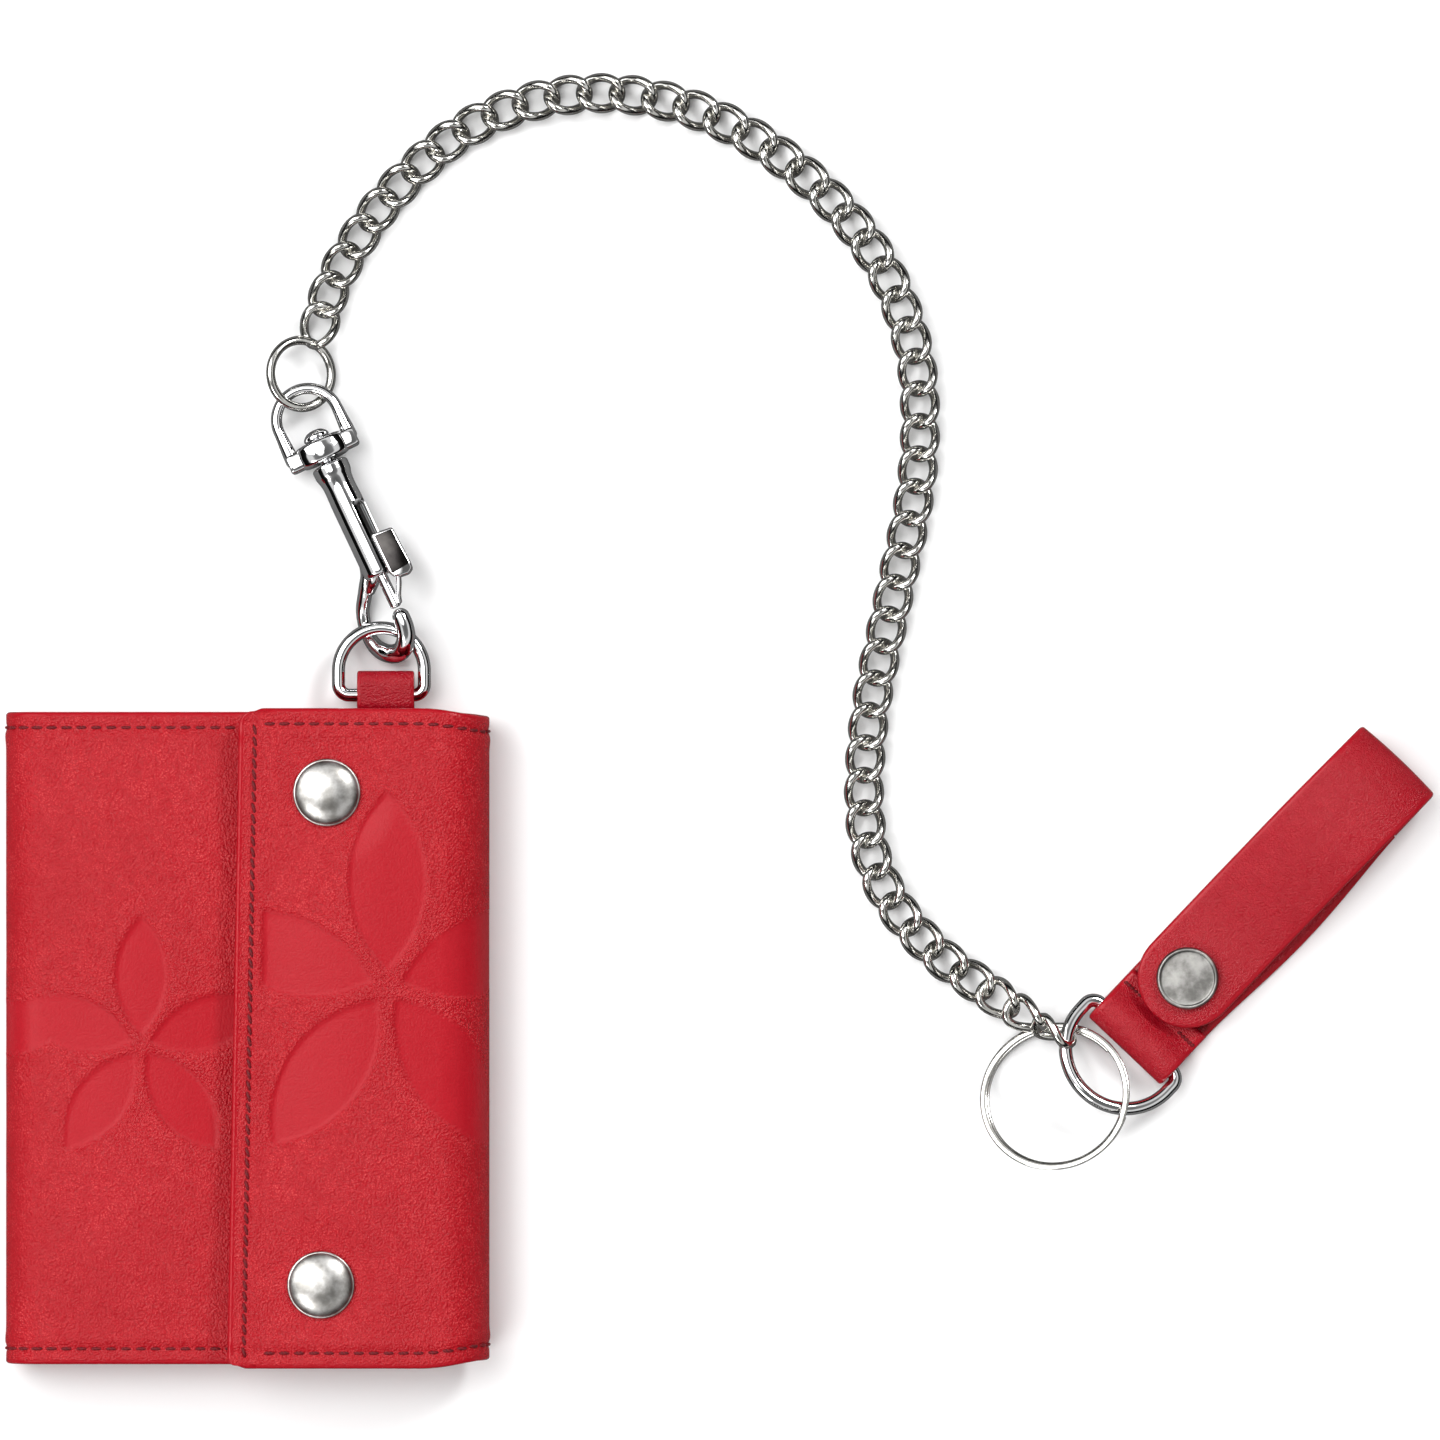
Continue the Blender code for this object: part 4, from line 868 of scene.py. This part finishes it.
def makeSnaps():
    for label, (x, y) in snapPlaces.items():
        top, r, bend, foot = wallet["flapTop"], snaps["radius"], snaps["roll"], snaps["rimHigh"]
        t = np.linspace(0, 1, 26)
        # a low dome that steepens towards its rolled edge
        dome = np.stack([t * (r - bend), top + foot + (snaps["rise"] - foot) * (1 - t**2.6) ** 0.85], axis=1)
        roll = np.linspace(0.15, 1, 7) * math.pi * 0.62
        edge = np.stack([r - bend + bend * np.sin(roll), top + 0.40 + bend * np.cos(roll)], axis=1)
        profile = np.concatenate([dome, edge, [(r - 0.4, top - 0.12), (1.5, top - 0.12), (1.5, top - 1.6),
                                               (0, top - 1.6)]])
        points, faces = lathe(profile, (x, y, 0), up, 72)
        cap = putMesh(f"snap_cap_{label}_dome", points, faces, snapMetal)
        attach(cap, "flap")
        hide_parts(f"snap_cap_{label}")
        for part in ("socket", "stud", "rivet"):
            keep(f"snap_{part}_{label}", snapMetal)


makeSnaps()

# ---- snap hook

print("stage: snap hook")
hook = {
    "tip": (27.4, 80.0, 7.6), "collar": (13.7, 108.9, 4.8), "roll": 42.0, "barrel": 3.1,
    "top": -29.2, "end": -6.2, "slotTop": -20.4, "slotHalf": 1.55, "slotDeep": 1.1,
    "collarLow": -34.0, "collarHigh": -29.75, "legs": 5.85, "archAt": -38.2,
    "limb": [(2.2, -11.5), (2.6, -9.5), (3.4, -7.3), (5.6, -4.9), (8.2, -2.1), (9.4, 1.5), (8.9, 4.9),
             (6.6, 7.2), (3.6, 7.8), (1.2, 6.3), (0.2, 4.2), (0.0, 2.3)],
    "limbWire": [0.9, 1.2, 1.40, 1.35, 1.25, 1.25, 1.42, 1.68, 1.80, 1.78, 1.70, 1.62],
    "shoulder": [(1.0, -11.5), (1.4, -8.5), (2.3, -6.4), (4.2, -4.9)],
    "finger": [(3.0, -5.2, 2.2), (2.3, -3.4, 1.5), (1.3, -1.6, 0.7), (0.9, -0.4, 0.3)],
    "block": [(1.50, -13.6), (5.60, -13.2), (5.95, -6.0), (5.85, -4.7), (4.8, -4.0), (3.0, -4.2),
              (1.9, -5.0), (1.40, -6.0)],
    "plate": [(1.95, -13.1), (5.35, -12.8), (5.62, -5.7), (2.0, -5.3)],
    "blockLow": 0.6, "blockHigh": 3.75,
    "coil": {"turns": 8, "top": -26.5, "end": -15.7, "radius": 1.35, "wire": 0.26, "squeezed": 0.44},
}
hookAxis = unit(np.subtract(hook["tip"], hook["collar"]))
hookSide = unit(np.cross(up, hookAxis))
hookFace = np.cross(hookAxis, hookSide)
rolled = math.radians(hook["roll"])
hookBulge = -math.cos(rolled) * hookSide - math.sin(rolled) * hookFace
hookAcross = np.cross(hookAxis, hookBulge)


def hookPoint(bulge, far, across=0.0):
    return np.array(hook["tip"]) + bulge * hookBulge + far * hookAxis + across * hookAcross


def levelPoint(side, far, rise=0.0):
    return np.array(hook["tip"]) + side * hookSide + far * hookAxis + rise * hookFace


def denser(profile, step):
    # more points on each straight run of a profile
    p = np.array(profile, float)
    gone = np.concatenate([[0], np.cumsum(np.linalg.norm(np.diff(p, axis=0), axis=1))])
    places = np.unique(np.concatenate([gone, np.arange(0, gone[-1], step)]))
    return np.stack([np.interp(places, gone, p[:, k]) for k in range(2)], axis=1)


def makeCasting(h):
    # the barrel, its shoulder and the hook's limb are one casting
    top, end, r = h["top"], h["end"], h["barrel"]
    profile = softProfile([(0, top), (2.7, top), (3.5, top + 0.35), (3.45, top + 2.2), (3.1, top + 3.2),
                           (2.95, top + 4.6), (r - 0.05, top + 7.4), (r, end - 0.6), (2.75, end), (2.0, end),
                           (1.9, end - 6.0), (0, end - 6.2)], 0.5, 5)
    points, faces = lathe(denser(profile, 0.4), h["tip"], hookAxis, 96)
    local = points - np.array(h["tip"])
    b, a, w = local @ hookBulge, local @ hookAxis, local @ hookAcross
    # the slot that the thumb block slides in: the wall sinks towards the bore
    sink = (ease((h["slotHalf"] + 0.15 - np.abs(w)) / 0.3) * ease((-b - 0.6) / 0.8)
            * ease((a - h["slotTop"] + 0.15) / 0.3))
    points = points + (sink * h["slotDeep"] * (np.hypot(b, w) > 2.2))[:, None] * hookBulge
    way = smoothRoute([hookPoint(*p) for p in h["limb"]], 0.35)
    wire = np.interp(np.linspace(0, 1, len(way)), np.linspace(0, 1, len(h["limbWire"])), h["limbWire"])
    limb = tube(way, wire, 24, fixed=hookAcross)
    way = smoothRoute([hookPoint(*p) for p in h["shoulder"]], 0.4)
    shoulder = tube(way, np.linspace(2.0, 1.05, len(way)), 24, fixed=hookAcross)
    joined, allFaces = gather([(points, faces), limb, shoulder])
    # painted shade: the slot's sunken wall is marked 'dark', which colours it near-black
    dark = np.zeros(len(joined))
    dark[: len(points)] = sink
    body = putMesh("snap_hook_casting", joined, allFaces, chrome, {"dark": dark}, merge=1e-5)
    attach(body, "root")
    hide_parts("hook_body")
    return body


def levelSlab(outline, low, high):
    return slab([levelPoint(s, a, low) for s, a in outline], [levelPoint(s, a, high) for s, a in outline])


def makeTrigger(h):
    # the bolt's rod with its finger, and the thumb block with its dark face
    rod = softProfile([(0, -15.2), (1.6, -15.2), (1.6, -12.9), (1.05, -12.6), (1.05, 0.1), (0.75, 0.35),
                       (0, 0.35)], 0.3, 4)
    shaft = lathe(denser(rod, 0.5), h["tip"], hookAxis, 40)
    finger = tube(smoothRoute([levelPoint(*p) for p in h["finger"]], 0.3), 0.55, 16, fixed=hookFace)
    points, faces = gather([shaft, finger])
    bolt = putMesh("trigger_bolt_rod", points, faces, chrome)
    points, faces = levelSlab(h["block"], h["blockLow"], h["blockHigh"])
    block = putMesh("trigger_thumb_block", points, faces, chrome, sharp=0)
    points, faces = levelSlab(h["plate"], h["blockHigh"] - 0.2, h["blockHigh"] + 0.14)
    plate = putMesh("trigger_dark_face", points, faces, darkChrome, sharp=0)
    softenEdges(block, 0.42, 4)
    softenEdges(plate, 0.12, 4)
    for piece in (bolt, block, plate):
        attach(piece, "trigger")
    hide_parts("trigger_bolt")
    return [bolt, block, plate]


def makeSpring(h):
    c = h["coil"]
    share = np.linspace(0, 1, c["turns"] * 24 + 1)
    wound = tau * c["turns"] * share
    coil = (np.array(h["tip"]) + (c["radius"] * np.cos(wound))[:, None] * hookBulge
            + (c["top"] + (c["end"] - c["top"]) * share)[:, None] * hookAxis
            + (c["radius"] * np.sin(wound))[:, None] * hookAcross)
    points, faces = tube(coil, c["wire"], 10, fixed=hookAxis, roundEnds=False)
    spring = putMesh("bolt_spring_coil", points, faces, springSteel, merge=1e-5)
    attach(spring, "root")
    tuple((hookPoint(0, c["top"]) * mm).tolist())
    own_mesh(spring)
    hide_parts("bolt_spring")
    return spring


def makeSwivel(h):
    # the rivet's domed head, and the bail that turns on it
    top, low, high = h["top"], h["collarLow"], h["collarHigh"]
    rivet = softProfile([(0, low - 2.0), (1.5, low - 1.8), (2.45, low - 0.9), (2.45, low - 0.2),
                         (1.5, low - 0.1), (1.5, top - 0.1), (0, top - 0.1)], 0.6, 6)
    points, faces = lathe(denser(rivet, 0.4), h["tip"], hookAxis, 48)
    head = putMesh("swivel_rivet_dome", points, faces, chrome)
    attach(head, "root")
    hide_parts("swivel_rivet")

    # the collar is a short bulging drum with a lug at each side, where the bow's legs come in
    drum = softProfile([(1.9, low + 0.1), (4.1, low), (4.9, low + 0.4), (5.15, (low + high) / 2),
                        (4.95, high - 0.5), (4.2, high), (1.9, high), (1.9, low + 0.1)], 0.45, 5)
    parts = [lathe(denser(drum[:-1], 0.4), h["tip"], hookAxis, 64)]
    flat = parts[0][0] - np.array(h["tip"])
    flat = flat - (0.30 * (flat @ hookFace))[:, None] * hookFace
    parts[0] = (flat + np.array(h["tip"]), parts[0][1])
    box = squaredRound(32, 0.45) * np.array([1.85, 1.72])
    for sign in (-1, 1):
        line = [levelPoint(sign * s, (low + high) / 2 + 0.05) for s in (3.9, 4.6, 5.4, 6.2, 6.65, 6.9)]
        parts.append(tube(line, [1.0, 1.0, 1.0, 1.0, 0.93, 0.72], fixed=hookFace,
                          section=box, roundEnds=False))
    legs, archAt = h["legs"], h["archAt"]
    turn = np.linspace(0, math.pi, 40)
    arch = np.concatenate([
        [levelPoint(-legs, a) for a in np.linspace(low + 1.6, archAt, 12)[:-1]],
        [levelPoint(-legs * math.cos(t), archAt - legs * math.sin(t)) for t in turn],
        [levelPoint(legs, a) for a in np.linspace(archAt, low + 1.6, 12)[1:]]])
    gone = np.minimum(np.arange(len(arch)), np.arange(len(arch))[::-1])
    parts.append(tube(arch, 1.04 + 0.30 * (1 - ease(gone / 12.0)), 24, fixed=hookFace))
    points, faces = gather(parts)
    bail = putMesh("swivel_bail_bow", points, faces, chrome, merge=1e-5)
    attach(bail, "bail")
    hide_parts("swivel_bail")
    return [head, bail]


hookPieces = [makeCasting(hook), *makeTrigger(hook), makeSpring(hook), *makeSwivel(hook)]

# ---- rings

print("stage: rings")
rings = {
    "tabBar": (24.7, 63.4, 4.83), "tabHalf": 7.95, "tabDeep": 12.5, "tabTilt": -3.0, "tabWire": 1.2,
    "jumpCentre": (9.8, 122.9, 3.97), "jumpRadius": 6.25, "jumpWire": 0.85, "jumpRise": 0.455,
    "keyCentre": (149.52, -10.93, 5.77), "keyRadius": 13.4, "keyRise": 0.3376, "keyPitch": 0.60,
    "keyHalf": 0.29, "keyWide": 0.66, "keyStart": 1.70, "keyGap": 1.05, "keyInset": 0.32,
    "strapBar": (164.5, 0.1, 3.4), "strapHalf": 11.05, "strapDeep": 14.45, "strapTilt": 15.0,
    "strapWire": 1.25,
}
loopStart, loopLength = (162.0, -2.6), 74.3
loopAlong = unit((0.688, 0.726, 0.0))
loopAcross = np.cross(loopAlong, up)


def loopPoint(far, height, across):
    return (np.array([*loopStart, 0.0]) + np.multiply.outer(np.asarray(far, float), loopAlong)
            + np.multiply.outer(np.asarray(across, float), loopAcross)
            + np.multiply.outer(np.asarray(height, float), up))


def dRing(name, bar, across, out, half, deep, wire, body, node):
    # a straight bar and a round bow, joined by tight corners, as one closed wire
    t = np.linspace(0, math.pi, 72)
    bow = np.stack([half * np.cos(t), deep - half + half * np.sin(t)], axis=1)
    q = np.linspace(0, math.pi / 2, 10)
    r = 2.0
    left = np.stack([-half + r - r * np.cos(q), r - r * np.sin(q)], axis=1)
    right = np.stack([half - r + r * np.sin(q), r - r * np.cos(q)], axis=1)
    side = np.linspace(0, 1, 4)[1:-1, None]
    leftSide = np.array([-half, deep - half]) * (1 - side) + left[0] * side
    rightSide = right[-1] * (1 - side) + np.array([half, deep - half]) * side
    barLine = np.linspace(left[-1], right[0], 12)[1:-1]
    line = np.concatenate([bow, leftSide, left, barLine, right, rightSide])
    route = np.array(bar) + line[:, :1] * np.array(across) + line[:, 1:] * np.array(out)
    points, faces = tube(route, wire, 24, closed=True, fixed=np.cross(across, out))
    piece = putMesh(name, points, faces, chrome, sharp=0)
    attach(piece, body)
    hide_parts(node)
    return piece


def makeDRings(r):
    tilt = math.radians(r["tabTilt"])
    dRing("tab_d_ring", r["tabBar"], (1, 0, 0), (0, math.cos(tilt), math.sin(tilt)), r["tabHalf"],
          r["tabDeep"], r["tabWire"], "root", "wallet_d_ring")
    tilt = math.radians(r["strapTilt"])
    return dRing("belt_d_ring", r["strapBar"], loopAcross, -loopAlong * math.cos(tilt) + up * math.sin(tilt),
                 r["strapHalf"], r["strapDeep"], r["strapWire"], "strap_ring", "strap_d_ring")


def makeJumpRing(r):
    # an open round ring: its ends almost meet
    level = unit(np.multiply(0.951 * hookSide + 0.312 * hookAxis * np.array([1.0, 1.0, 0.0]), (1, 1, 0)))
    fall = math.asin(r["jumpRise"])
    across, other = level * math.cos(fall) - up * math.sin(fall), np.cross(up, level)
    turn = np.linspace(-1.02, tau - 1.02 - 0.035, 100)
    route = np.array(r["jumpCentre"]) + r["jumpRadius"] * roundTurn(turn, across, other)
    points, faces = tube(route, r["jumpWire"], 20, fixed=np.cross(across, other), roundEnds=False)
    jump = putMesh("open_jump_ring", points, faces, nickel)
    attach(jump, "link_ring")
    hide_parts("jump_ring")
    return jump


def makeKeyRing(r):
    level = unit((0.566, -0.824, 0.0))
    rise = math.asin(r["keyRise"])
    across, other = level * math.cos(rise) + up * math.sin(rise), np.cross(up, level)
    normal = np.cross(across, other)
    share = np.linspace(0, 1, 260)
    turn = (2 * tau - r["keyGap"]) * share + r["keyStart"]
    # two flat turns lie on each other, and the wire steps from one to the other between its ends
    step = ease((share - 0.44) / 0.12)
    radius = r["keyRadius"] + 0.1 - r["keyInset"] * (1 - step)
    route = (np.array(r["keyCentre"]) + radius[:, None] * roundTurn(turn, across, other)
             + ((step - 0.5) * r["keyPitch"])[:, None] * normal)
    section = squaredRound(24, 0.9) * np.array([r["keyWide"], r["keyHalf"]])
    points, faces = tube(route, 1.0, fixed=normal, section=section, roundEnds=False)
    key = putMesh("split_key_ring", points, faces, nickel)
    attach(key, "keys_ring")
    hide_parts("key_ring")
    return key


ringPieces = [makeDRings(rings), makeJumpRing(rings), makeKeyRing(rings)]

# ---- leather straps: the tab, and the belt loop

print("stage: straps")


def strapShell(centre, raised, acrossWay, half, offset, thick, crown=0.0, across=36):
    # a strip with a rounded oblong section, carried along a centreline. Each row is one station.
    n = len(centre)
    gone = np.concatenate([[0], np.cumsum(np.linalg.norm(np.diff(centre, axis=0), axis=1))])
    ends = np.minimum(gone, gone[-1] - gone)
    soft = thick * 0.30
    fall = 1 - np.sqrt(np.clip(1 - (1 - np.clip(ends / soft, 0, 1)) ** 2, 0, 1))
    t = np.linspace(-1, 1, across)
    q = np.linspace(0, math.pi, 9)[1:-1]
    # across the top, round one edge, back along the bottom, round the other edge
    lateral = np.concatenate([t, 1 + 0 * q, t[::-1], -1 - 0 * q])
    rim = np.concatenate([0 * t, 1 + 0 * q, 0 * t, 1 + 0 * q])
    outward = np.concatenate([0 * t, np.sin(q), 0 * t, -np.sin(q)])
    height = np.concatenate([1 + 0 * t, np.cos(q), -1 + 0 * t, -np.cos(q)])
    half = np.broadcast_to(np.asarray(half, float), n)
    body = np.maximum(half - soft, 0.02)
    reach = lateral[None] * body[:, None] + outward[None] * np.minimum(soft, half)[:, None]
    rise = (height[None] * (thick / 2 * (1 - 0.8 * fall))[:, None]
            + np.broadcast_to(crown, n)[:, None] * (1 - lateral[None] ** 2))
    points = (centre[:, None] + (reach + np.asarray(offset, float))[..., None] * acrossWay[:, None]
              + rise[..., None] * raised[:, None])
    rimAll = np.clip(rim[None] + fall[:, None] * 0.9
                     + (np.abs(lateral[None]) > 0.975) * (half > 2)[:, None], 0, 1)
    size = len(lateral)
    faces = gridFaces(n, size).tolist()
    for row in (0, n - 1):
        faces += endFaces([row * size + k for k in range(size)], across, len(q))
    return points.reshape(-1, 3), faces, {"rim": rimAll}


def lineFrame(line, place, acrossWay):
    # a centreline of (far, height) pairs as points, with its upward direction
    line = np.array(line, float)
    centre = place(line)
    way = unit(np.gradient(centre, axis=0))
    acrossAll = np.repeat(np.asarray(acrossWay, float)[None], len(centre), 0)
    return centre, unit(np.cross(acrossAll, way)), acrossAll


def evenLine(line, step):
    line = np.array([(a, b, 0.0) for a, b in line])
    return smoothRoute(line, step)[:, :2]


tab = {"middle": 25.5, "width": 10.6, "leather": 1.2, "front": 67.9, "root": 46.0, "wire": 1.2, "lower": 2.7}


def makeTab(t):
    lower = t["lower"]
    upper = lower + t["leather"] + 2 * t["wire"] + 0.6
    inside = lower + t["leather"] + 0.3
    r = (upper - lower) / 2
    turnY = t["front"] - t["leather"] / 2 - r
    line = [(t["root"], lower), (52.0, lower), (58.0, lower), (62.0, lower)]
    line += [(turnY + r * math.cos(a), lower + r + r * math.sin(a)) for a in np.linspace(-1.57, 1.57, 13)]
    share = np.linspace(0.12, 1, 6)
    line += list(zip(62.4 - 4.4 * share, upper + (inside - upper) * ease(share)))
    line += [(52.0, inside), (t["root"], inside)]
    centre, raised, acrossAll = lineFrame(
        evenLine(line, 0.35), lambda c: np.stack([0 * c[:, 0] + t["middle"], c[:, 0], c[:, 1]], axis=1),
        (-1.0, 0.0, 0.0))
    points, faces, facts = strapShell(centre, raised, acrossAll, t["width"] / 2, 0.0, t["leather"])
    piece = putMesh("tab_fold_leather", points, faces, strapLeather, facts, sharp=0)
    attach(piece, "root")
    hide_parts("tab_strap")


beltLoop = {"half": 9.3, "leather": 1.9, "bend": 5.5, "snapAt": 18.06, "upperOff": -0.7, "lowerOff": 0.1,
            "barAt": 3.68, "barHigh": 3.4, "tailEnd": 9.4, "tailTip": 12.6, "seamAt": 9.7, "snapGap": 3.1,
            "bow": 1.2, "long": 9.5, "crown": 0.45}
bendAt = loopLength - beltLoop["long"] - beltLoop["leather"] / 2
bendHigh = beltLoop["leather"] / 2 + beltLoop["bend"]
tailHigh = beltLoop["leather"] + 0.3 + beltLoop["leather"] / 2  # the middle of the fold's tail


def upperHeight(far):
    # the upper layer lies on the snap, then swells up to the bend
    closed = beltLoop["leather"] + beltLoop["snapGap"] + beltLoop["leather"] / 2
    return closed + (bendHigh + beltLoop["bend"] - closed) * ease((far - 26.0) / 32.0)


def loopLine(c):
    return loopPoint(c[:, 0], c[:, 1], 0 * c[:, 0])


def farAlong(points):
    return (points - np.array([*loopStart, 0.0])) @ loopAlong


def makeLowerLayer(b):
    # from the bend back to the ring, round its bar, and forward again as the sewn tail
    middle, wrap = b["leather"] / 2, b["barHigh"] - b["leather"] / 2
    line = [(bendAt - 0.3, middle)] + [(a, middle) for a in np.arange(62.0, 10.0, -6.0)]
    line += [(b["barAt"] + wrap * math.cos(a), b["barHigh"] + wrap * math.sin(a))
             for a in np.linspace(-0.5 * math.pi, -1.5 * math.pi, 17)]
    share = np.linspace(0.15, 1, 7)
    line += list(zip(b["barAt"] + 0.6 + (b["tailEnd"] - b["barAt"] - 0.6) * share,
                     b["barHigh"] + wrap + (tailHigh - b["barHigh"] - wrap) * ease(share)))
    line += [(b["tailTip"], tailHigh)]
    centre, raised, acrossAll = lineFrame(evenLine(line, 0.45), loopLine, loopAcross)
    # the lower layer bows a little to the right between its two ends, under the upper one
    far = farAlong(centre)
    share = np.clip((far - 14) / (bendAt - 14), 0, 1)
    bow = (b["lowerOff"] + b["bow"] * np.sin(math.pi * share) ** 1.5)[:, None]
    points, faces, facts = strapShell(centre, raised, acrossAll, b["half"], bow, b["leather"])
    lower = putMesh("belt_loop_lower_leather", points, faces, strapLeather, facts, sharp=0)
    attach(lower, "root")
    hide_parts("belt_strap_lower")
    return lower


def makeUpperLayer(b):
    # round the bend, then back over the lower layer to the round end that carries the snap
    tip = b["snapAt"] - 9.2
    line = [(bendAt + b["long"] * math.cos(a), bendHigh + b["bend"] * math.sin(a))
            for a in np.linspace(-math.pi / 2, math.pi / 2, 30)]
    down = np.concatenate([np.arange(bendAt - 0.45, tip + 1.6, -0.45),
                           tip + np.array([1.3, 1.0, 0.75, 0.5, 0.3, 0.15, 0.05, 0.0])])
    line += list(zip(down, upperHeight(down)))
    centre, raised, acrossAll = lineFrame(line, loopLine, loopAcross)
    far = farAlong(centre)
    onTop = np.arange(len(centre)) > 15
    edge = np.clip(1 - (far - tip) / b["half"], 0, 1) * onTop
    half = b["half"] * np.sqrt(np.clip(1 - edge**2, 0.0004, 1))
    gone = np.cumsum(np.linalg.norm(np.diff(centre, axis=0, prepend=centre[:1]), axis=1))
    offset = (b["upperOff"] * ease(gone / 40.0))[:, None]
    # the strap is a little crowned on top, and flat again where it comes down to the table
    crown = b["crown"] * ease((centre[:, 2] - 3.0) / 6.0)
    points, faces, facts = strapShell(centre, -raised, acrossAll, half, offset, b["leather"], crown)
    upper = putMesh("belt_loop_upper_leather", points, faces, strapLeather, facts, sharp=0)
    start = loopPoint(loopLength - b["bend"] - b["leather"] / 2, b["leather"] / 2, 0.0)
    stop = start + (-3.0 * loopAlong + 10.5 * up)
    tuple(stop * mm)
    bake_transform(upper)
    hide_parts("belt_strap_upper", "belt_strap_bend")
    return upper


def makeBeltCap(b):
    # the cap is flat with a slim raised rim
    at = loopPoint(b["snapAt"], 0.0, b["upperOff"])
    top = 2 * b["leather"] + b["snapGap"]
    profile = denser(softProfile([(0, top + 1.5), (4.9, top + 1.42), (5.15, top + 1.72), (5.5, top + 1.70),
                                  (5.8, top + 1.2), (5.75, top + 0.12), (1.5, top + 0.12), (1.5, top - 1.7),
                                  (0, top - 1.7)], 0.22, 5), 0.6)
    points, faces = lathe(profile, at * np.array([1, 1, 0]), up, 72)
    cap = putMesh("belt_snap_cap_disc", points, faces, discMetal)
    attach(cap, "loop_strap")
    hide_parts("belt_snap_cap")
    for name in ("belt_snap_socket", "belt_snap_stud", "belt_snap_rivet"):
        keep(name, snapMetal)
    return cap


def makeBeltThread(b):
    # the fold's tail is sewn down by short stitches bunched at both edges
    lift = tailHigh + b["leather"] / 2
    spots = np.array([-8.4, -7.7, -6.9, -6.0, -5.0, 5.2, 6.1, 6.9, 7.7, 8.4])
    place = loopPoint(0 * spots + b["seamAt"], 0 * spots + lift - 0.08, spots + b["lowerOff"])
    points, faces = stitchRows(place, np.repeat(unit(loopAcross + 0.45 * loopAlong)[None], len(spots), 0),
                               np.repeat(up[None], len(spots), 0), np.full(len(spots), 1.1))
    sewn = putMesh("belt_loop_thread", points, faces, thread, sharp=0)
    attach(sewn, "root")
    return sewn


makeTab(tab)
loopPieces = [make(beltLoop) for make in (makeLowerLayer, makeUpperLayer, makeBeltCap, makeBeltThread)]

cordPieces = hookPieces + ringPieces + loopPieces + [nodes[n] for n in (
    "belt_snap_socket", "belt_snap_stud", "belt_snap_rivet")]
print("stage: done")
